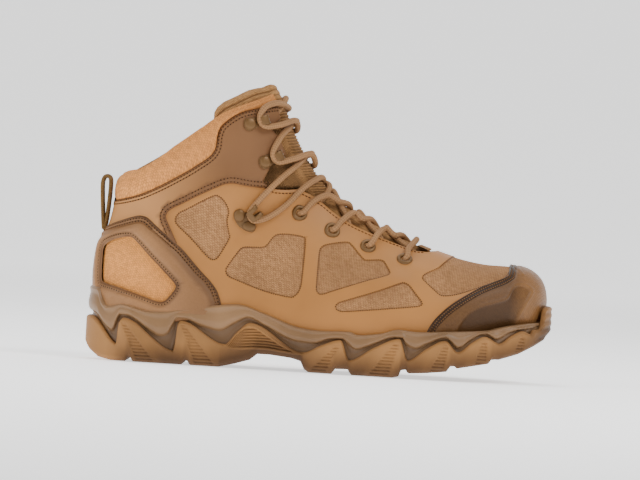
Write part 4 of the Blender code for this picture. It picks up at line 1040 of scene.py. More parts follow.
def cap_edge_line():
    """Edge of the cap from the ridge down the outer side."""
    line = side_line(CAP_EDGE)[::-1]
    ridge_row = float(np.interp(CAP_RIDGE_X, SECTIONS[:, 0], np.arange(len(SECTIONS))))
    share = np.linspace(0.0, 1.0, 12)[:-1, None]
    start = np.array([ridge_row, 0.0])
    return np.vstack([start + share * (line[0] - start), line])


def build_toe_cap():
    """Columns from one foot of the cap over the ridge to the other, rows from its edge to the tip."""
    line = cap_edge_line()
    wraps = np.linspace(-CAP_FOOT_WRAP, CAP_FOOT_WRAP, 281)
    order = np.argsort(line[:, 1])
    starts = np.interp(np.abs(wraps), line[order, 1], line[order, 0])
    share = np.concatenate([np.linspace(0.0, 0.12, 28), np.linspace(0.12, 1.0, 100)[1:]])
    row = starts[None, :] + (TIP_ROW - 0.02 - starts[None, :]) * share[:, None]
    wrap = np.broadcast_to(wraps, row.shape)
    base = around(row.ravel(), wrap.ravel())
    whole_edge = np.column_stack([starts, wraps])
    to_edge = distance_to([whole_edge])(base)
    x, z = base[:, 0], base[:, 2]
    height = (0.05 + CAP_THICK * ease(0.0, 0.8, to_edge)
              - 0.45 * ease(0.9, 1.6, to_edge) * ease(CAP_BAND + 0.6, CAP_BAND - 0.4, to_edge))
    height += 0.3 * ease(CAP_BAND, CAP_BAND + 3.0, to_edge)
    sunk_ring = drawn(SUNK_PANEL, 1.0, True)
    rim = line_away(x, z, np.vstack([sunk_ring, sunk_ring[:1]]))
    on_side = ease(0.12, 0.2, np.abs(wrap.ravel()))
    within = inside(np.column_stack([x, z]), sunk_ring)
    depth = np.where(within, ease(0.0, 1.9, rim), 0.0)
    bead = np.exp(-(np.where(within, 0.4 * rim, rim) / 1.3) ** 2)
    height += on_side * (0.45 * bead - 0.95 * depth) * ease(CAP_BAND, CAP_BAND + 2.0, to_edge)
    for stripe in CAP_STRIPES:
        height += 0.55 * np.exp(-(line_away(x, z, stripe) / 0.8) ** 4)
    surface = skin(row, wrap, height.reshape(row.shape))
    piece = close_up(laid_grid("toe_cap_rubber", surface), False)
    # The sewn band along the edge is darker. Painted shade: the sunk panel is darker. Painted light: the
    # side is darkened against a lighter front.
    painted_shade_and_tone = (0.5 * ease(CAP_BAND + 0.3, CAP_BAND - 0.3, to_edge) + 0.3 * depth * on_side
            + 0.52 * ease(291.0, 279.0, x) * ease(24.0, 40.0, z))
    nearest = tree_of(surface.reshape(-1, 3))
    tint(piece, [painted_shade_and_tone[nearest.find(spot)[1]] for spot in spots_of(piece)])
    return piece, whole_edge


toe_cap, cap_edge = build_toe_cap()
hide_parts("toe_cap")
dress(toe_cap, "toe_rubber", finish("dark_rubber", (134, 93, 53), (48, 29, 11), 0.42, grain=1300.0,
                                    bump=0.05, mottle=0.15, weave=(0.9, 0.9, 0.78), weave_bump=0.1,
                                    weave_shade=0.3, coat=0.12, shine=0.18))
cap_thread = finish("brown_thread", (122, 84, 48), (70, 46, 24), 0.8, bump=0.05)
cap_rows = [(set_in(cap_edge, away, False), 1.0) for away in CAP_STITCH_AWAY]
dress(sewn("toe_cap_stitching", cap_rows, stitch_shape(*CAP_STITCH), CAP_PITCH), "toe_rubber", cap_thread)
dress(sewn("toe_cap_holes", cap_rows, hole_shape(CAP_HOLE), CAP_PITCH, 0.5), "toe_rubber", hole_shadow)

# Ankle panel: smooth synthetic leather from the back seam to the hooks, its lower edge folded over a
# cord and sewn twice, its upper edge sewn down over the collar.
COLLAR_SEAM = ((2.0, 104.6), (12.8, 105.7), (19.9, 107.1), (27.5, 109.3), (34.9, 112.1), (44.2, 116.9),
               (53.4, 122.3), (62.7, 128.1), (70.0, 133.3), (75.5, 137.4), (79.1, 141.5), (80.6, 146.0),
               (81.0, 152.5), (82.8, 158.4), (86.0, 162.0), (91.0, 166.1), (96.5, 169.3),
               (104.0, 171.6), (122.0, 175.4))
PANEL_EDGE = ((129.0, 120.0), (112.8, 119.9), (106.1, 120.0), (99.4, 120.7), (93.6, 121.5),
              (87.9, 120.7), (80.5, 117.2), (71.2, 112.3), (62.0, 107.0), (53.2, 102.0), (50.5, 98.7),
              (50.6, 95.8), (53.5, 89.8), (58.5, 80.0))
PANEL_UNDER = ((56.5, 77.5), (44.0, 86.5), (38.0, 91.0), (34.5, 92.0), (30.0, 91.4), (21.0, 88.2),
               (8.0, 80.5))
SEAM_BACK, PANEL_BACK = 104.6, 79.0
PANEL_THICK = 1.2
PIPING = 5.0
PANEL_STITCH, PANEL_HOLE, PANEL_PITCH = (1.5, 0.4), 0.52, 2.3
PIPING_STITCH_AWAY, SEAM_STITCH_AWAY = (1.3, 3.7), (1.3, 3.2)
SEWN_ABOVE = 86.5


def panel_outline():
    """Outline over the outer side, then back along the inner side."""
    seam, edge, under = side_line(COLLAR_SEAM), side_line(PANEL_EDGE), side_line(PANEL_UNDER)
    seam = seam[seam[:, 1] > throat_wrap(seam[:, 0]) + 0.004]
    edge = edge[edge[:, 1] > throat_wrap(edge[:, 0]) + 0.004]
    rows = np.linspace(seam[-1, 0], edge[0, 0], 70)
    throat = np.column_stack([rows, throat_wrap(rows)])
    back_top, back_low = [(back_row(SEAM_BACK), 1.0)], [(back_row(PANEL_BACK), 1.0)]
    outer = np.vstack([back_top, seam, throat, edge, under, back_low])
    return np.vstack([outer, mirrored_behind(outer)[1:-1]]), seam, edge


panel_ring, seam_line, panel_edge = panel_outline()
from_piping = distance_to([panel_edge, mirrored_behind(panel_edge)])


def panel_height(row, wrap, to_edge, to_hole):
    """Level sheet with a rounded edge all round and a raised cord along the film."""
    to_film = from_piping(around(row, wrap))
    cord = (0.75 * ease(PIPING + 0.9, PIPING - 0.7, to_film)
            - 0.35 * np.exp(-((to_film - PIPING - 0.3) / 0.7) ** 2))
    return -0.1 + PANEL_THICK * ease(0.0, 1.0, to_edge) + cord * ease(0.0, 1.3, to_edge)


ankle_panel = panel("ankle_panel_sheet", panel_ring, [], panel_height)
spot = spots_of(ankle_panel)
to_film, to_seam = from_piping(spot), distance_to([seam_line, mirrored_behind(seam_line)])(spot)
# Painted light: the panel darkens towards the hooks and stays lighter at the back. The piping band is
# darker, and painted shade runs along its very edge by the film and along the collar seam.
shade = 0.85 * ease(20.0, 95.0, spot[:, 0]) * ease(92.0, 122.0, spot[:, 2] + 0.12 * spot[:, 0])
shade = np.maximum(shade, 0.9 * ease(PIPING + 0.5, PIPING - 0.3, to_film))
tint(ankle_panel, np.maximum(shade, 1.0 * ease(1.1, 0.5, np.minimum(to_film, to_seam))))
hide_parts("ankle_panel")
dress(ankle_panel, "smooth_panel",
      finish("taupe_leather", (187, 131, 77), (98, 66, 42), 0.52, grain=1400.0, bump=0.03, mottle=0.1))
panel_thread = finish("taupe_thread", (112, 76, 44), (70, 46, 26), 0.8, bump=0.05)
sewn_edge = panel_edge[around(*panel_edge.T)[:, 2] > SEWN_ABOVE]
piping_rows = [(set_in(sewn_edge, -away, False), 1.8) for away in PIPING_STITCH_AWAY]
collar_rows = [(set_in(seam_line, -away, False), 1.18) for away in SEAM_STITCH_AWAY]
panel_rows = piping_rows + collar_rows
panel_rows += [(mirrored_behind(line), height) for line, height in panel_rows]
dress(sewn("ankle_stitching", panel_rows, stitch_shape(*PANEL_STITCH), PANEL_PITCH), "smooth_panel",
      panel_thread)
dress(sewn("ankle_holes", panel_rows, hole_shape(PANEL_HOLE), PANEL_PITCH, 0.5), "smooth_panel", hole_shadow)

# Heel counter: one moulded frame round the heel, with a sewn flange, a raised face and a window on
# each side that shows a light twill stretched over foam.
COUNTER_EDGE = ((90.6, 39.0), (90.0, 42.0), (88.9, 45.7), (86.4, 50.9), (81.8, 56.4), (75.1, 62.9),
                (68.3, 70.0), (62.6, 76.0), (56.5, 80.9), (44.9, 90.2), (39.0, 95.2), (34.9, 96.6),
                (30.4, 96.2), (21.4, 92.8), (15.2, 89.9), (8.4, 85.4))
COUNTER_BACK = 84.0
COUNTER_FOOT = ((16.0, 34.0), (30.0, 29.0), (60.0, 29.0), (87.0, 34.0))
COUNTER_WINDOW = ((9.9, 67.0), (10.2, 72.9), (11.4, 75.8), (15.2, 78.7), (20.9, 81.0), (26.4, 82.1),
                  (30.3, 80.8), (40.7, 70.5), (54.2, 57.5), (58.8, 52.7), (59.2, 50.0), (56.5, 45.7),
                  (52.7, 41.5), (49.0, 40.7), (42.3, 42.3), (21.8, 48.5), (12.6, 50.8), (10.4, 53.0),
                  (9.9, 59.6))
FLANGE = 4.6
FRAME_PROUD = 2.7
FRAME_SLOPE = 5.4
COUNTER_STITCH_AWAY, COUNTER_PITCH = (1.75, 3.6), 2.2
WINDOW_HOLE, WINDOW_PITCH, WINDOW_AWAY, WINDOW_HIGH = 0.5, 2.0, 2.1, 3.1


def counter_outline():
    """Outline round the heel, over both sides."""
    top, foot = side_line(COUNTER_EDGE), side_line(COUNTER_FOOT)
    outer = np.vstack([[(6.0, 1.0)], foot, top, [(back_row(COUNTER_BACK), 1.0)]])
    return np.vstack([outer, mirrored_behind(outer)[1:-1]]), top


counter_ring, counter_top = counter_outline()
counter_windows = [side_line(COUNTER_WINDOW, closed=True)]
counter_windows.append(mirrored_behind(counter_windows[0]))
from_flange = distance_to([counter_top, mirrored_behind(counter_top)])
from_panel = distance_to([panel_ring])


def counter_height(row, wrap, to_edge, to_hole):
    """Flange with a sunk track for its stitches, slope up to the face, bevel down into the window.
    It lies higher where the ankle panel runs under it."""
    place = around(row, wrap)
    to_top = from_flange(place)
    on_panel = np.where(inside(np.column_stack([row, wrap]), panel_ring),
                        ease(0.0, 2.5, from_panel(place)), 0.0)
    track = 0.5 * ease(0.9, 1.3, to_top) * ease(FLANGE, FLANGE - 0.5, to_top)
    flange = 0.1 + 1.35 * ease(0.0, 0.8, to_edge) - track
    face = FRAME_PROUD * (0.25 * ease(FLANGE, FLANGE + 0.8, to_top)
                          + 0.75 * ease(FLANGE + 0.2, FLANGE + 1.4 * FRAME_SLOPE, to_top))
    bevel = 0.8 * ease(4.6, 3.0, to_hole) + 0.5 * ease(1.4, 0.9, to_hole) + 0.8 * ease(0.7, 0.1, to_hole)
    return flange + face - bevel * 1.35 + PANEL_THICK * on_panel * ease(9.0, 3.0, to_top - FLANGE)


counter_guides = [set_in(counter_top, away, False)
                  for away in (0.9, 1.3, FLANGE - 0.5, FLANGE, FLANGE + 0.4, FLANGE + 0.8, FLANGE + 2.2,
                               FLANGE + 3.7, FLANGE + 5.2, FLANGE + 6.7)]
counter_guides += [set_in(counter_windows[0], -away) for away in (2.4, 3.0, 3.8, 4.6)]
counter_guides += [mirrored_behind(guide) for guide in counter_guides]
heel_counter = panel("heel_counter_frame", counter_ring, counter_windows, counter_height, 1.5,
                     counter_guides)
spot = spots_of(heel_counter)
to_top = distance_to([counter_top, mirrored_behind(counter_top)], 2.2)(spot)
to_hole = distance_to(counter_windows, 3.0)(spot)
# Darker towards the front. Painted shade on the flange and up the slope, down the bevel into each window and
# along the top edge.
shade = 0.5 * ease(40.0, 76.0, spot[:, 0]) + 0.3 * ease(FLANGE + 4.5, FLANGE + 2.0, to_top)
shade += 0.4 * ease(4.4, 3.2, to_hole) * ease(1.2, 2.4, to_hole) + 0.9 * ease(1.7, 1.0, to_hole)
tint(heel_counter, shade + 0.7 * ease(1.6, 1.0, to_top))
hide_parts("heel_counter")
dress(heel_counter, "smooth_panel",
      finish("counter_rubber", (164, 118, 77), (86, 58, 34), 0.5, grain=1200.0, bump=0.04, mottle=0.12,
             weave=(0.8, 0.8, 0.78), weave_bump=0.05, weave_shade=0.16))


def twill_height(row, wrap, to_edge, to_hole):
    """Soft swelling of the foam behind the window."""
    return -0.3 + 1.1 * ease(1.5, 12.0, to_edge)


twill_look = finish("light_twill", (236, 158, 81), (173, 112, 59), 0.85, weave=(2.2, 1.2, 0.95),
                    weave_bump=0.24, weave_shade=0.55, mottle=0.1)
for k, window in enumerate(counter_windows):
    twill = panel(f"counter_twill_{k + 1}", set_in(window, -1.5), [], twill_height)
    tint(twill, 0.25 * ease(66.0, 44.0, spots_of(twill)[:, 2]))
    dress(twill, "film_and_mesh", twill_look)
counter_lines = [set_in(counter_top, away, False) for away in COUNTER_STITCH_AWAY]
counter_rows = [(line, 1.05 + PANEL_THICK * inside(line, panel_ring)) for line in counter_lines]
counter_rows += [(mirrored_behind(line), height[::-1]) for line, height in counter_rows]
dress(sewn("counter_stitching", counter_rows, stitch_shape(*PANEL_STITCH), COUNTER_PITCH),
      "smooth_panel", panel_thread)
dress(sewn("counter_holes", counter_rows, hole_shape(PANEL_HOLE), COUNTER_PITCH, 0.5), "smooth_panel",
      hole_shadow)
window_rings = [set_in(window, -WINDOW_AWAY) for window in counter_windows]
window_rows = [(np.vstack([ring, ring[:1]]), WINDOW_HIGH) for ring in window_rings]
dress(sewn("counter_window_holes", window_rows, hole_shape(WINDOW_HOLE), WINDOW_PITCH), "smooth_panel",
      hole_shadow)

# Collar: foam in a light twill, sewn to the panel, rolled over the top edge and down the inside.
# It is stuffed, so it swells between its two seams.
COLLAR_COLUMNS = 240
COLLAR_SWELL = 2.6
COLLAR_TOP_ROW, COLLAR_INSIDE_ROW = 1.03, 2.7
ROW_HIGH = 13.5
COLLAR_PAD = 4.6
# Rise and fall of its top edge along the boot
EDGE_X = (12.0, 17.0, 22.0, 30.0, 36.0, 44.0, 52.0, 62.0, 72.0, 84.0)
EDGE_RISE = (0.0, 2.2, 1.2, -2.2, -2.6, -1.8, -0.8, -1.2, -1.3, 0.0)


def build_collar():
    """Columns round the ankle, each drawn from the seam over the top edge to the inside."""
    line = np.vstack([seam_line[::-1], [(back_row(SEAM_BACK), 1.0)], mirrored_behind(seam_line[::-1])])
    run = run_along(around(*line.T))
    at = np.linspace(0.0, run[-1], COLLAR_COLUMNS)
    seam_row, seam_wrap = np.interp(at, run, line[:, 0]), np.interp(at, run, line[:, 1])
    start = float(throat_wrap(1.0)[0]) + 0.004
    level_wrap = np.interp(at, (0.0, run[-1] / 2, run[-1]), (start, 1.0, 2 - start))
    top_wrap = 0.45 * level_wrap + 0.55 * np.clip(seam_wrap, start, 2 - start)
    edge_x = around(np.full(COLLAR_COLUMNS, COLLAR_TOP_ROW), top_wrap)[:, 0]
    top_row = COLLAR_TOP_ROW - np.interp(edge_x, EDGE_X, EDGE_RISE) / ROW_HIGH
    near_front = np.minimum(at, run[-1] - at)
    plump = 0.35 + 0.65 * ease(0.0, 45.0, near_front)
    inner_pad = COLLAR_PAD * (0.35 + 0.65 * ease(8.0, 60.0, near_front))
    lines = []
    for u in np.linspace(0.0, 1.0, 34):
        swell = math.sin(math.pi * u) ** 0.75
        row = seam_row + u * (top_row - seam_row)
        wrap = seam_wrap + (u ** 1.3) * (top_wrap - seam_wrap)
        lines.append(skin(row, wrap, 0.15 + 0.35 * u + COLLAR_SWELL * swell * plump))
    for angle in np.linspace(0.0, math.pi, 12)[1:]:
        half = (inner_pad + 0.5) / 2
        crest = top_row - 0.16 * math.sin(angle)
        lines.append(skin(crest, top_wrap, 0.5 - half + half * math.cos(angle)))
    for u in np.linspace(0.0, 1.0, 26)[1:]:
        row = top_row + u * (COLLAR_INSIDE_ROW - top_row)
        deep = -inner_pad * (1 - ease(0.55, 1.0, u)) - 2.3 * ease(0.55, 1.0, u) - 1.4 * math.sin(math.pi * u)
        edge = throat_wrap(row) + 0.035 * ease(0.0, 0.2, u)
        lines.append(skin(row, np.clip(top_wrap, edge, 2 - edge), deep))
    piece = close_up(laid_grid("collar_padding", np.array(lines)[::-1]), False)
    front = spots_of(piece)[:, 0]
    tint(piece, 0.3 * ease(30.0, 85.0, front) + 0.25 * ease(80.0, 105.0, front))
    return piece


collar = build_collar()
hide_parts("collar")
dress(collar, "collar_fabric", finish("collar_twill", (234, 157, 83), (164, 106, 58), 0.88,
                                      weave=(2.4, 1.3, 0.95), weave_bump=0.3, weave_shade=0.62,
                                      mottle=0.12))

# Tongue: foam between a ribbed front and a soft lining, sewn to the upper at its foot.
# Its front carries cross ribs between two plain edges.
TONGUE_TOP_X = (66.0, 73.0, 74.5, 75.8, 78.5, 83.5, 90.0, 100.0, 106.0, 111.0, 150.0)
TONGUE_TOP_Z = (40.0, 100.0, 160.0, 166.0, 171.0, 175.6, 179.0, 184.8, 186.9, 187.4, 187.6)
TONGUE_FOOT_ROW = 11.4
TONGUE_HALF = 2.3
TONGUE_RIB = 2.1
TONGUE_SEAMS = (5.0, 9.0)
TONGUE_COLUMNS, TONGUE_STEPS = 61, 460


def build_tongue():
    """Front and back of the pad, drawn from its rounded top edge down to the vamp."""
    share = np.linspace(-1.0, 1.0, TONGUE_COLUMNS)
    rows = np.linspace(0.0, 4.5, 900)
    column_rows, column_wraps = [], []
    for s in share:
        trial = around(rows, np.full(len(rows), s * 0.5)) - outward(rows, np.full(len(rows), s * 0.5)) * 6.0
        below = trial[:, 2] <= np.interp(trial[:, 0], TONGUE_TOP_X, TONGUE_TOP_Z)
        first = rows[np.argmax(below)]
        row = first + (TONGUE_FOOT_ROW - first) * np.linspace(0.0, 1.0, TONGUE_STEPS)
        column_rows.append(row)
        column_wraps.append(s * np.interp(row, (0.0, 3.2, 4.6, 12.0), (0.5, 0.45, 0.34, 0.26)))
    row, wrap = np.array(column_rows), np.array(column_wraps)
    place = around(row.ravel(), wrap.ravel()).reshape(*row.shape, 3)
    run = np.concatenate([np.zeros((len(row), 1)),
                          np.cumsum(np.linalg.norm(np.diff(place, axis=1), axis=2), 1)], 1)
    half = (TONGUE_HALF * np.sqrt(np.clip(1 - (1 - np.clip(run / 3.5, 0, 1)) ** 2, 0, 1))
            * np.sqrt(np.clip(1 - np.abs(share) ** 8, 0, 1))[:, None])
    throat = throat_wrap(row.ravel()).reshape(row.shape)
    high = -3.7 - 2.8 * ease(0.06, 0.10, np.abs(wrap) - throat + 0.12)
    low = -4.3 - 2.6 * ease(0.03, 0.11, np.abs(wrap))
    middle = high + (low - high) * ease(4.2, 4.8, row) - 1.6 * ease(-0.05, 0.02, np.abs(wrap) - throat)
    ribbed = ease(0.148, 0.138, np.abs(wrap)) * ease(10.0, 14.0, run) * ease(5.4, 4.6, row)
    wave = np.abs(np.sin(np.pi * run / TONGUE_RIB)) ** 0.7
    rib = ribbed * (1.1 * wave - 0.3)
    edge_cord = (0.7 * np.exp(-((np.abs(wrap) - 0.16) / 0.010) ** 2) * ease(8.0, 12.0, run)
                 * ease(5.4, 4.6, row))
    upper_seam, lower_seam = (run - at for at in TONGUE_SEAMS)
    top_seam = -0.5 * np.exp(-(upper_seam / 0.7) ** 2) - 0.4 * np.exp(-(lower_seam / 0.7) ** 2)
    front = skin(row, wrap, middle + half + rib + edge_cord + top_seam)
    back = skin(row, wrap, middle - half + 0.6 * top_seam)
    loop = np.concatenate([front, back[::-1][1:-1], front[:1]])
    piece = laid_grid("tongue_padding", loop[::-1])
    # Darker below its top edge. Painted shade on the sides of the pad, in the grooves between the ribs and
    # in the two sunk seams.
    shade = (0.3 * ease(8.0, 14.0, run) + 0.5 * ease(0.165, 0.2, np.abs(wrap)) * ease(8.0, 14.0, run)
             + 0.9 * ribbed * (1 - wave))
    shade += 0.8 * np.exp(-(upper_seam / 0.6) ** 2) + 0.6 * np.exp(-(lower_seam / 0.6) ** 2)
    tint(piece, np.concatenate([shade, shade[::-1][1:-1], shade[:1]])[::-1].ravel())
    return close_up(piece, False)


tongue = build_tongue()
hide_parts("tongue")
dress(tongue, "tongue_fabric", finish("tongue_cloth", (184, 135, 84), (92, 64, 36), 0.9,
                                      weave=(1.5, 1.05, 0.0), weave_bump=0.25, weave_shade=0.5,
                                      mottle=0.15))

# Pull loop: a folded strap of gold-brown webbing that stands behind the heel.
# Its two ends are sewn in under the counter's top edge.
LOOP_LINE = ((8.3, 86.2), (9.3, 91.0), (10.2, 100.0), (10.8, 109.0), (11.0, 116.5), (10.6, 120.3),
             (8.8, 121.7), (6.8, 121.0), (5.6, 117.5), (5.8, 110.5), (6.6, 99.8), (7.5, 90.0))
LOOP_WIDE, LOOP_THICK = 15.0, 2.7


def strap(name, line, wide, thick, closed):
    """Webbing along a line of places and outward directions, with rounded selvedges."""
    place, out, across = line
    ahead = np.linspace(0.0, 2 * np.pi, 29)
    swing = np.sign(np.cos(ahead)) * np.abs(np.cos(ahead)) ** 0.3 * wide / 2
    lift = np.sign(np.sin(ahead)) * np.abs(np.sin(ahead)) ** 0.7 * thick / 2
    loop = np.array([place + across * b + out * c for b, c in zip(swing, lift)])
    if closed:
        loop = np.concatenate([loop, loop[:, :1]], 1)
    return close_up(laid_grid(name, loop))


def build_pull_loop():
    """Closed strap that stands behind the heel."""
    flat = drawn(LOOP_LINE, 0.8, True)
    place = np.column_stack([flat[:, 0], np.zeros(len(flat)), flat[:, 1]])
    ahead = np.roll(place, -1, 0) - np.roll(place, 1, 0)
    across = np.tile((0.0, 1.0, 0.0), (len(place), 1))
    out = np.cross(ahead, across)
    out /= np.linalg.norm(out, axis=1)[:, None]
    return strap("pull_loop_webbing", (place, out, across), LOOP_WIDE, LOOP_THICK, True)


webbing = finish("gold_webbing", (124, 93, 51), (54, 37, 20), 0.85, weave=(1.6, 0.8, 0.0),
                 weave_bump=0.3, weave_shade=0.5)
pull_loop = build_pull_loop()
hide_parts("pull_loop")
dress(pull_loop, "webbing", webbing)

# Lace keeper: a short tape of lighter webbing across the foot of the throat.
# Its ends are folded under and sewn to the film.
KEEPER_ROW = 10.15
KEEPER_WRAP = 0.1
KEEPER_WIDE = 8.0


def build_keeper():
    """Tape across the ridge, lower in its middle than at its two ends."""
    share = np.linspace(-1.0, 1.0, 61)
    lift = 0.7 - 1.5 * (1 - share ** 2)
    row, wrap = np.full(len(share), KEEPER_ROW), share * KEEPER_WRAP
    place, out = skin(row, wrap, lift), outward(row, wrap)
    across = np.cross(np.gradient(place, axis=0), out)
    across /= np.linalg.norm(across, axis=1)[:, None]
    return strap("lace_keeper_tape", (place, out, across), KEEPER_WIDE, 1.2, False)


keeper = build_keeper()
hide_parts("lace_keeper")
dress(keeper, "webbing", finish("tan_tape", (158, 112, 64), (84, 56, 30), 0.85, weave=(1.6, 0.8, 0.0),
                                weave_bump=0.3, weave_shade=0.5))

# Eyelets: turned rings of brown painted metal, four along each side of the throat.
# Each has a barrel that is pressed through the film and the mesh.
SIDES = ((1.0, "outer"), (-1.0, "inner"))
EYELETS = ((138.4, 104.7), (160.4, 94.7), (184.9, 85.5), (210.0, 78.4))
EYELET_PROFILE = ((5.35, -0.2), (5.25, 0.35), (4.9, 0.9), (4.3, 1.25), (3.6, 1.2), (3.0, 0.85),
                  (2.6, 0.3), (2.45, -0.5), (2.4, -1.6), (1.2, -1.7), (0.05, -1.7))
paint = finish("brown_paint", (106, 77, 44), (26, 18, 12), 0.42, grain=1600.0, bump=0.01, mottle=0.12,
               metal=0.3, coat=0.1)


def axes_at(here, aim):
    """Rows and wraps for each millimetre towards an aim on the last, and across it."""
    row, wrap = np.array([here[0]]), np.array([here[1]])
    by_row, by_wrap = (slope[0] for slope in slopes(row, wrap))
    up = outward(row, wrap)[0]
    along = around(np.array([aim[0]]), np.array([aim[1]]))[0] - around(row, wrap)[0]
    along -= up * (along @ up)
    along /= np.linalg.norm(along)
    return np.linalg.pinv(np.stack([by_row, by_wrap], 1)) @ np.stack([along, np.cross(up, along)], 1)


def set_on(here, axes, along, across, height):
    """Points given in millimetres along, across and above a place on the last."""
    along, across, height = np.broadcast_arrays(*(np.asarray(v, float) for v in (along, across, height)))
    shift = axes @ np.stack([along.ravel(), across.ravel()])
    return skin(here[0] + shift[0], here[1] + shift[1], height.ravel()).reshape(*along.shape, 3)


def turned(name, here, axes, profile, seat, shift=(0.0, 0.0)):
    """Round piece turned from a profile of radii and heights."""
    angle = np.linspace(0.0, 2 * np.pi, 33)
    radius, height = (np.array(profile)[:, k][:, None] for k in (0, 1))
    lines = set_on(here, axes, shift[0] + radius * np.cos(angle), shift[1] + radius * np.sin(angle),
                   seat + height)
    return close_up(laid_grid(name, lines), False)


eyelet_spots = on_last(EYELETS)
for side, label in SIDES:
    for k, (row, wrap) in enumerate(eyelet_spots):
        here = (row, side * wrap)
        ring = turned(f"ring_{label}_{k + 1}", here, axes_at(here, (row + 0.3, side * wrap)),
                      EYELET_PROFILE, 0.25)
        # Painted shade: the barrel inside each ring is dark.
        spot = spots_of(ring)
        depth = np.linalg.norm(spot - skin(*here, 0.0), axis=1)
        tint(ring, ease(2.75, 2.5, depth))
        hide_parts(f"eyelet_{label}_{k + 1}")
        dress(ring, "painted_metal", paint)

# Hooks: stamped plates of brown painted metal, held by domed rivets and curled back at the end.
# Slots leave three fingers on the two upper hooks of a side, and two on the lock hook below them,
# which has two rivets.
HOOKS = ((101.8, 161.8, 114.2, 165.8, 1), (113.2, 137.1, 126.7, 144.6, 1), (101.6, 96.9, 112.9, 107.8, 2))
HOOK_CURL = ((6.2, 0.45), (8.6, 0.7), (10.6, 1.6), (11.9, 3.1), (11.9, 4.8), (10.8, 5.9), (9.2, 6.3),
             (7.4, 6.1), (6.0, 5.5))
LOCK_CURL = ((6.2, 0.45), (9.4, 0.7), (11.6, 1.6), (12.8, 3.2), (12.8, 5.2), (11.7, 6.4), (10.0, 6.9),
             (7.6, 6.9), (5.4, 6.8), (3.6, 6.6))
HOOK_HALF, HOOK_METAL = 3.1, 0.9
FINGER_HALF = 0.7
LOCK_HALF, LOCK_FINGER_HALF = 4.3, 1.45
PLATE_ROUND = 4.3
RIVET_PROFILE = ((4.0, -0.2), (4.0, 0.5), (3.75, 0.95), (3.25, 1.35), (2.4, 1.65), (1.3, 1.8), (0.05, 1.85))
LOCK_RIVETS = 4.8


def ribbon(name, here, axes, seat, along, height, half, shift=0.0):
    """Strip of sheet metal along a profile, with a half width at each place."""
    along, height, half = (np.asarray(v, float) for v in (along, height, half))
    run_a, run_h = np.gradient(along), np.gradient(height)
    size = np.hypot(run_a, run_h)
    angle = np.linspace(0.0, 2 * np.pi, 17)
    swing = np.sign(np.cos(angle)) * np.abs(np.cos(angle)) ** 0.35
    lift = np.sign(np.sin(angle)) * np.abs(np.sin(angle)) ** 0.6 * HOOK_METAL / 2
    a = along[None, :] - lift[:, None] * run_h / size
    h = height[None, :] + lift[:, None] * run_a / size
    return cap_ends(laid_grid(name, set_on(here, axes, a, shift + swing[:, None] * half, seat + h)))


def build_hook(label, number, here, aim, rivets, seat):
    """Plate, fingers through the bend, lip and rivets of one hook."""
    axes = axes_at(here, aim)
    curl = drawn(HOOK_CURL if rivets == 1 else LOCK_CURL, 0.5)
    round_end = np.linspace(-PLATE_ROUND, 0.0, 12)
    neck = np.linspace(0.0, 6.4, 10)[1:]
    wide = PLATE_ROUND + (LOCK_RIVETS if rivets == 2 else 0.0)
    end_half = wide * np.sqrt(np.clip(1 - (round_end / -4.35) ** 4, 0.02, 1))
    neck_half = HOOK_HALF + (wide - HOOK_HALF) * (1 - ease(0.0, 6.0, neck)) ** 1.3
    flat_half = np.concatenate([end_half, neck_half])
    parts = [ribbon("plate", here, axes, seat, np.concatenate([round_end, neck]),
                    np.full(len(flat_half), 0.45), flat_half)]
    if rivets == 1:
        half, finger, shifts, share = HOOK_HALF, FINGER_HALF, (-1.0, 0.0, 1.0), 0.70
    else:
        half, finger, shifts, share = LOCK_HALF, LOCK_FINGER_HALF, (-1.0, 1.0), 0.86
    bend, lip = curl[: int(len(curl) * share)], curl[int(len(curl) * (share - 0.06)):]
    for shift in shifts:
        parts.append(ribbon("finger", here, axes, seat, *bend.T, np.full(len(bend), finger),
                            shift * (half - finger)))
    tip = np.linspace(0.0, 1.0, len(lip))
    parts.append(ribbon("lip", here, axes, seat, *lip.T, half * np.sqrt(1 - 0.35 * tip ** 4)))
    for across in ((0.0,) if rivets == 1 else (-LOCK_RIVETS, LOCK_RIVETS)):
        parts.append(turned("rivet", here, axes, RIVET_PROFILE, seat + 0.75, (0.0, across)))
    hook = joined(f"lace_hook_{label}_{number}", parts)
    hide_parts(f"hook_{label}_{number}")
    dress(hook, "painted_metal", paint)


for number, (base_x, base_z, tip_x, tip_z, rivets) in enumerate(HOOKS, 1):
    (row, wrap), (aim_row, aim_wrap) = on_last(((base_x, base_z), (tip_x, tip_z)))
    seat = 0.15 if rivets == 2 else 1.25
    for side, label in SIDES:
        build_hook(label, number, (row, side * wrap), (aim_row, side * aim_wrap), rivets, seat)

# Lace: one round braided cord, laid over the foot of the throat, under each edge and out over the
# other one into the next eyelet, then round the hooks. Both ends are tucked in beside the tongue.
LACE_RADIUS = 2.05
LACE_STEP = 0.8
# Strands between the eyelets on the outer side, seen from the side: over the edge and into the throat,
# the row where each crosses the ridge, and the row and place where the other one comes over and dives
NEAR_STRANDS = (((146.2, 112.6), (154.8, 116.4), (162.5, 113.0)),
                ((166.5, 100.8), (173.3, 105.3), (179.0, 102.2)),
                ((190.2, 92.0), (194.9, 95.6), (201.5, 92.4)))
NEAR_RIDGE, FAR_RIDGE = (5.75, 7.15, 8.85), (4.75, 6.3, 7.95)
FAR_STRANDS = ((166.0, 112.3), (184.6, 102.0), (205.0, 92.3))
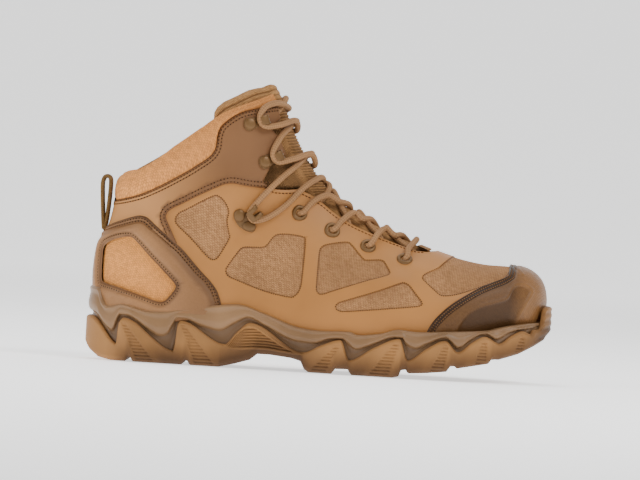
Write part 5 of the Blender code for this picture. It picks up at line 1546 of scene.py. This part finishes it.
# Legs of the cord on the outer side, seen from the side, each from the ridge to its hook or back
LOCK_LOW = ((144.5, 125.4), (137.5, 119.9), (128.2, 109.4), (118.4, 101.4), (111.0, 98.2))
LOCK_BEND = ((107.2, 98.4), (105.2, 101.0), (106.0, 105.6))
LOCK_HIGH = ((114.4, 116.4), (123.8, 126.6), (133.3, 135.4))
MIDDLE_LOW = ((139.5, 142.0), (130.0, 139.2), (122.0, 137.0))
MIDDLE_BEND = ((118.6, 138.0), (116.8, 140.8), (116.8, 144.8))
MIDDLE_HIGH = ((119.4, 150.8), (124.0, 157.1))
TOP_LOW = ((127.6, 164.2), (120.0, 161.6), (112.2, 160.0))
TOP_BEND = ((108.6, 161.2), (106.8, 164.0), (106.8, 168.4))
TOP_HIGH = ((109.8, 173.0), (117.0, 175.8))
CROSSING_ROWS = {OUTER: (4.12, 3.28, 2.5, 1.72), INNER: (4.5, 3.62, 2.28, 1.3)}
CROSSING_HEIGHTS = (0.9, 1.0, 1.0, 1.0)
LOCK_HEIGHTS = (2.2, 2.6, 3.0, 3.2, 3.2, 3.2, 3.2, 3.2, 3.4, 2.8, 1.3)
MIDDLE_HEIGHTS = (4.6, 4.8, 4.7, 4.7, 4.7, 4.7, 3.4, 1.3)
TOP_HEIGHTS = (4.6, 4.8, 4.7, 4.7, 4.7, 4.7, 4.2, 3.0)


def leg(points, side, heights):
    """Places of one leg of the cord on a side of the boot."""
    spots = on_last(points)
    return [skin(row, side * wrap, height) for (row, wrap), height in zip(spots, heights)]


def into_eyelet(k, side):
    """Places of the cord from above the film down into an eyelet."""
    row, wrap = eyelet_spots[k]
    return [skin(row, side * (wrap - 0.012), 1.6), skin(row, side * wrap, -0.3),
            skin(row, side * (wrap + 0.002), -1.5)]


def under_edge(row, side):
    """Places of the cord where it dives under an edge of the throat."""
    edge = float(throat_wrap(row)[0])
    return [skin(row, side * (edge + 0.035), -4.6), skin(row - 0.06, side * (edge - 0.012), -3.7)]


def near_strand(k):
    """Cord from under the inner edge over the ridge, then over the outer edge into the next eyelet."""
    path = under_edge(eyelet_spots[k][0] - 0.12, -1.0) + [skin(NEAR_RIDGE[k - 1], 0.0, -0.2)]
    return path + leg(NEAR_STRANDS[k - 1][::-1], 1.0, (1.7, 2.4, 2.7)) + into_eyelet(k - 1, 1.0)


def far_strand(k):
    """Cord from under the outer edge, below the other strand, over the ridge into the inner eyelet."""
    row, wrap = eyelet_spots[k - 1]
    edge = float(throat_wrap(row + 0.2)[0])
    path = (under_edge(eyelet_spots[k][0] - 0.12, 1.0) + leg(FAR_STRANDS[k - 1:k], 1.0, (-1.9,))
            + [skin(FAR_RIDGE[k - 1], 0.0, 0.1)])
    return (path + [skin(row + 0.2, -(edge - 0.01), 2.4), skin(row + 0.1, -(edge + wrap) / 2, 2.8)]
            + into_eyelet(k - 1, -1.0))


def upper_half(side):
    """Cord from under the edge at the top eyelet to the lock hook, then from hook to hook to its end."""
    row = eyelet_spots[0][0] - 0.25
    edge = float(throat_wrap(row)[0])
    cross = [skin(at, 0.0, height) for at, height in zip(CROSSING_ROWS[-side], CROSSING_HEIGHTS)]
    path = [skin(row, -side * (edge + 0.03), -4.3), skin(row, -side * (edge - 0.015), -3.4)]
    path += [cross[0], *leg(LOCK_LOW + LOCK_BEND + LOCK_HIGH, side, LOCK_HEIGHTS), cross[1]]
    path += [*leg(MIDDLE_LOW + MIDDLE_BEND + MIDDLE_HIGH, -side, MIDDLE_HEIGHTS), cross[2]]
    path += [*leg(TOP_LOW + TOP_BEND + TOP_HIGH, side, TOP_HEIGHTS), cross[3]]
    end = float(throat_wrap(1.75)[0])
    return [*path, skin(1.7, -side * (end - 0.02), -2.5), skin(1.8, -side * (end + 0.05), -4.4)]


def cord(name, path):
    """Round cord drawn through places, closed at both ends."""
    line = drawn(path, LACE_STEP)
    ahead = np.gradient(line, axis=0)
    ahead /= np.linalg.norm(ahead, axis=1)[:, None]
    up = np.cross(ahead[0], (0.3, 1.0, 0.2))
    ups = []
    for a in ahead:
        up = up - a * (up @ a)
        up = up / np.linalg.norm(up)
        ups.append(up)
    ups = np.array(ups)
    across = np.cross(ahead, ups)
    angle = np.linspace(0.0, 2 * np.pi, 13)
    lines = np.array([line + LACE_RADIUS * (ups * math.cos(a) + across * math.sin(a)) for a in angle])
    lines = np.concatenate([np.broadcast_to(line[0], (13, 1, 3)), lines,
                            np.broadcast_to(line[-1], (13, 1, 3))], 1)
    piece = laid_grid(name, lines)
    run = np.arange(lines.shape[1]) * LACE_STEP
    braid = np.stack([np.broadcast_to(np.cos(angle)[:, None], lines.shape[:2]),
                      np.broadcast_to(np.sin(angle)[:, None], lines.shape[:2]),
                      np.broadcast_to(run, lines.shape[:2])], 2)
    layer = piece.data.attributes.new("braid", "FLOAT_VECTOR", "POINT")
    layer.data.foreach_set("vector", braid.reshape(-1).astype(np.float32))
    return close_up(piece)


def braided(name, colour, dark):
    """Finish of a braided cord, from the places along and round it, with painted shade in the grooves
    between its strands.
    """
    made = finish(name, colour, dark, 0.85, grain=2200.0, bump=0.1, mottle=0.2)
    wiring = Wiring(made.node_tree)
    shader = made.node_tree.nodes["Principled BSDF"]
    axes = wiring.add("ShaderNodeSeparateXYZ", None,
                      Vector=wiring.add("ShaderNodeAttribute",
                                        {"attribute_name": "braid"}).outputs["Vector"]).outputs
    angle = wiring.math("MULTIPLY", wiring.math("ARCTAN2", axes["Y"], axes["X"]), 4.0)
    along = wiring.math("MULTIPLY", axes["Z"], 2 * math.pi / 3.2)
    one = wiring.math("SINE", wiring.math("ADD", along, angle))
    two = wiring.math("SINE", wiring.math("SUBTRACT", along, angle))
    strands = wiring.math("MULTIPLY_ADD", wiring.math("MULTIPLY", one, two), 0.5, 0.5)
    base = shader.inputs["Base Color"].links[0].from_socket
    # Painted shade: the colour darkens where the braid's surface sinks between strands.
    wiring.put(shader.inputs["Base Color"],
               wiring.mix(wiring.math("MULTIPLY", strands, 0.55), base, linear(*dark)))
    bump = shader.inputs["Normal"].links[0].from_node
    height = bump.inputs["Height"].links[0].from_socket
    wiring.put(bump.inputs["Height"], wiring.math("SUBTRACT", height, wiring.math("MULTIPLY", strands, 0.2)))
    return made


strands = []
for k in (3, 2, 1):
    strands.append(cord("strand", near_strand(k)))
    strands.append(cord("strand", far_strand(k)))
bar_row, bar_wrap = eyelet_spots[3]
bar_edge = float(throat_wrap(10.2)[0])
bar_shape = ((bar_row, bar_wrap + 0.002, -1.5), (bar_row, bar_wrap, -0.3),
             (bar_row - 0.01, bar_wrap - 0.014, 1.6), (9.8, (bar_wrap + bar_edge) / 2, 2.6),
             (9.55, 0.05, 1.7))
half_bar = [skin(row, wrap, height) for row, wrap, height in bar_shape]
other_bar = [skin(row, -wrap, height) for row, wrap, height in bar_shape]
strands.append(cord("strand", [*half_bar, skin(9.5, 0.0, 1.4), *other_bar[::-1]]))
strands.append(cord("strand", upper_half(1.0)))
strands.append(cord("strand", upper_half(-1.0)))
lace = joined("lace_cord", strands)
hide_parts("lace_bar", *[f"lace_crossing_{k}" for k in range(1, 7)])
dress(lace, "lace_cord", braided("braided_cord", (165, 122, 82), (96, 68, 42)))

# Floor, light and camera: a plain pale sweep, soft boxes above and in front, and the photograph's
# long view of the boot's outer side, tilted as the picture is.
FLOOR_HALF = 7.0
SWEEP_BACK, SWEEP_HIGH, SWEEP_ROUND = 6.4, 6.0, 2.0
PIXEL_SIZE = 0.66488
PICTURE_WIDE = 640
AIM = (152.77, -20.0, 87.55)
ROLL = math.radians(3.4)
YAW = math.radians(0.8)
PITCH = math.radians(0.5)
LENS = 400.0
SENSOR = 36.0
SEES_TO = 20.0


def build_floor():
    """Plane whose back edge is pulled up and rounded into a backdrop."""
    bpy.ops.object.select_all(action="DESELECT")
    bpy.ops.mesh.primitive_plane_add(size=2 * FLOOR_HALF, location=(0.0, SWEEP_BACK - FLOOR_HALF, -0.0004))
    floor = bpy.context.object
    floor.name = "studio_floor"
    bpy.ops.object.transform_apply(location=True)
    bpy.ops.object.mode_set(mode="EDIT")
    bpy.ops.mesh.select_all(action="DESELECT")
    bpy.ops.object.mode_set(mode="OBJECT")
    for edge in floor.data.edges:
        edge.select = all(floor.data.vertices[v].co.y > SWEEP_BACK - 0.01 for v in edge.vertices)
    bpy.ops.object.mode_set(mode="EDIT")
    bpy.ops.mesh.extrude_region_move(TRANSFORM_OT_translate={"value": (0.0, 0.0, SWEEP_HIGH)})
    bpy.ops.object.mode_set(mode="OBJECT")
    for edge in floor.data.edges:
        ends = [floor.data.vertices[v].co for v in edge.vertices]
        edge.select = all(e.y > SWEEP_BACK - 0.01 and abs(e.z) < 0.01 for e in ends)
    bpy.ops.object.mode_set(mode="EDIT")
    bpy.ops.mesh.bevel(offset=SWEEP_ROUND, segments=24)
    bpy.ops.object.mode_set(mode="OBJECT")
    bpy.ops.object.shade_smooth()
    paper = bpy.data.materials.new("pale_paper")
    paper.use_nodes = True
    shader = paper.node_tree.nodes["Principled BSDF"]
    for key, value in (("Base Color", (0.94, 0.94, 0.94, 1.0)), ("Roughness", 0.9),
                       ("Emission Color", (1.0, 1.0, 1.0, 1.0)), ("Emission Strength", 0.95)):
        shader.inputs[key].default_value = value
    floor.data.materials.append(paper)


def soft_box(name, place, aim, size, power):
    """Square area light turned to a point."""
    data = bpy.data.lights.new(name, "AREA")
    data.size = size
    data.energy = power
    lamp = bpy.data.objects.new(name, data)
    bpy.context.scene.collection.objects.link(lamp)
    lamp.location = place
    lamp.rotation_euler = (Vector(aim) - Vector(place)).to_track_quat("-Z", "Y").to_euler()


build_floor()
soft_box("key_light", (1.0, -0.95, 1.4), (0.0, 0.0, 0.08), 0.9, 25.0)
soft_box("fill_light", (-1.6, -0.95, 0.75), (0.0, 0.0, 0.08), 1.2, 15.0)
soft_box("top_light", (-0.2, 0.5, 1.7), (0.0, 0.0, 0.1), 1.2, 15.0)
sky = bpy.data.worlds.new("studio")
sky.use_nodes = True
sky.node_tree.nodes["Background"].inputs["Color"].default_value = (1.0, 0.99, 0.97, 1.0)
sky.node_tree.nodes["Background"].inputs["Strength"].default_value = 0.36
bpy.context.scene.world = sky

lens = bpy.data.cameras.new("photo_lens")
lens.lens, lens.sensor_width, lens.clip_end = LENS, SENSOR, SEES_TO
camera = bpy.data.objects.new("photo_camera", lens)
bpy.context.scene.collection.objects.link(camera)
bpy.context.scene.camera = camera
aim = Vector(world(AIM))
towards = Vector((math.sin(YAW) * math.cos(PITCH), -math.cos(YAW) * math.cos(PITCH), math.sin(PITCH)))
distance = PICTURE_WIDE * PIXEL_SIZE * MM * LENS / SENSOR
turn = towards.to_track_quat("Z", "Y").to_matrix() @ Matrix.Rotation(ROLL, 3, "Z")
camera.matrix_world = Matrix.Translation(aim + towards * distance) @ turn.to_4x4()
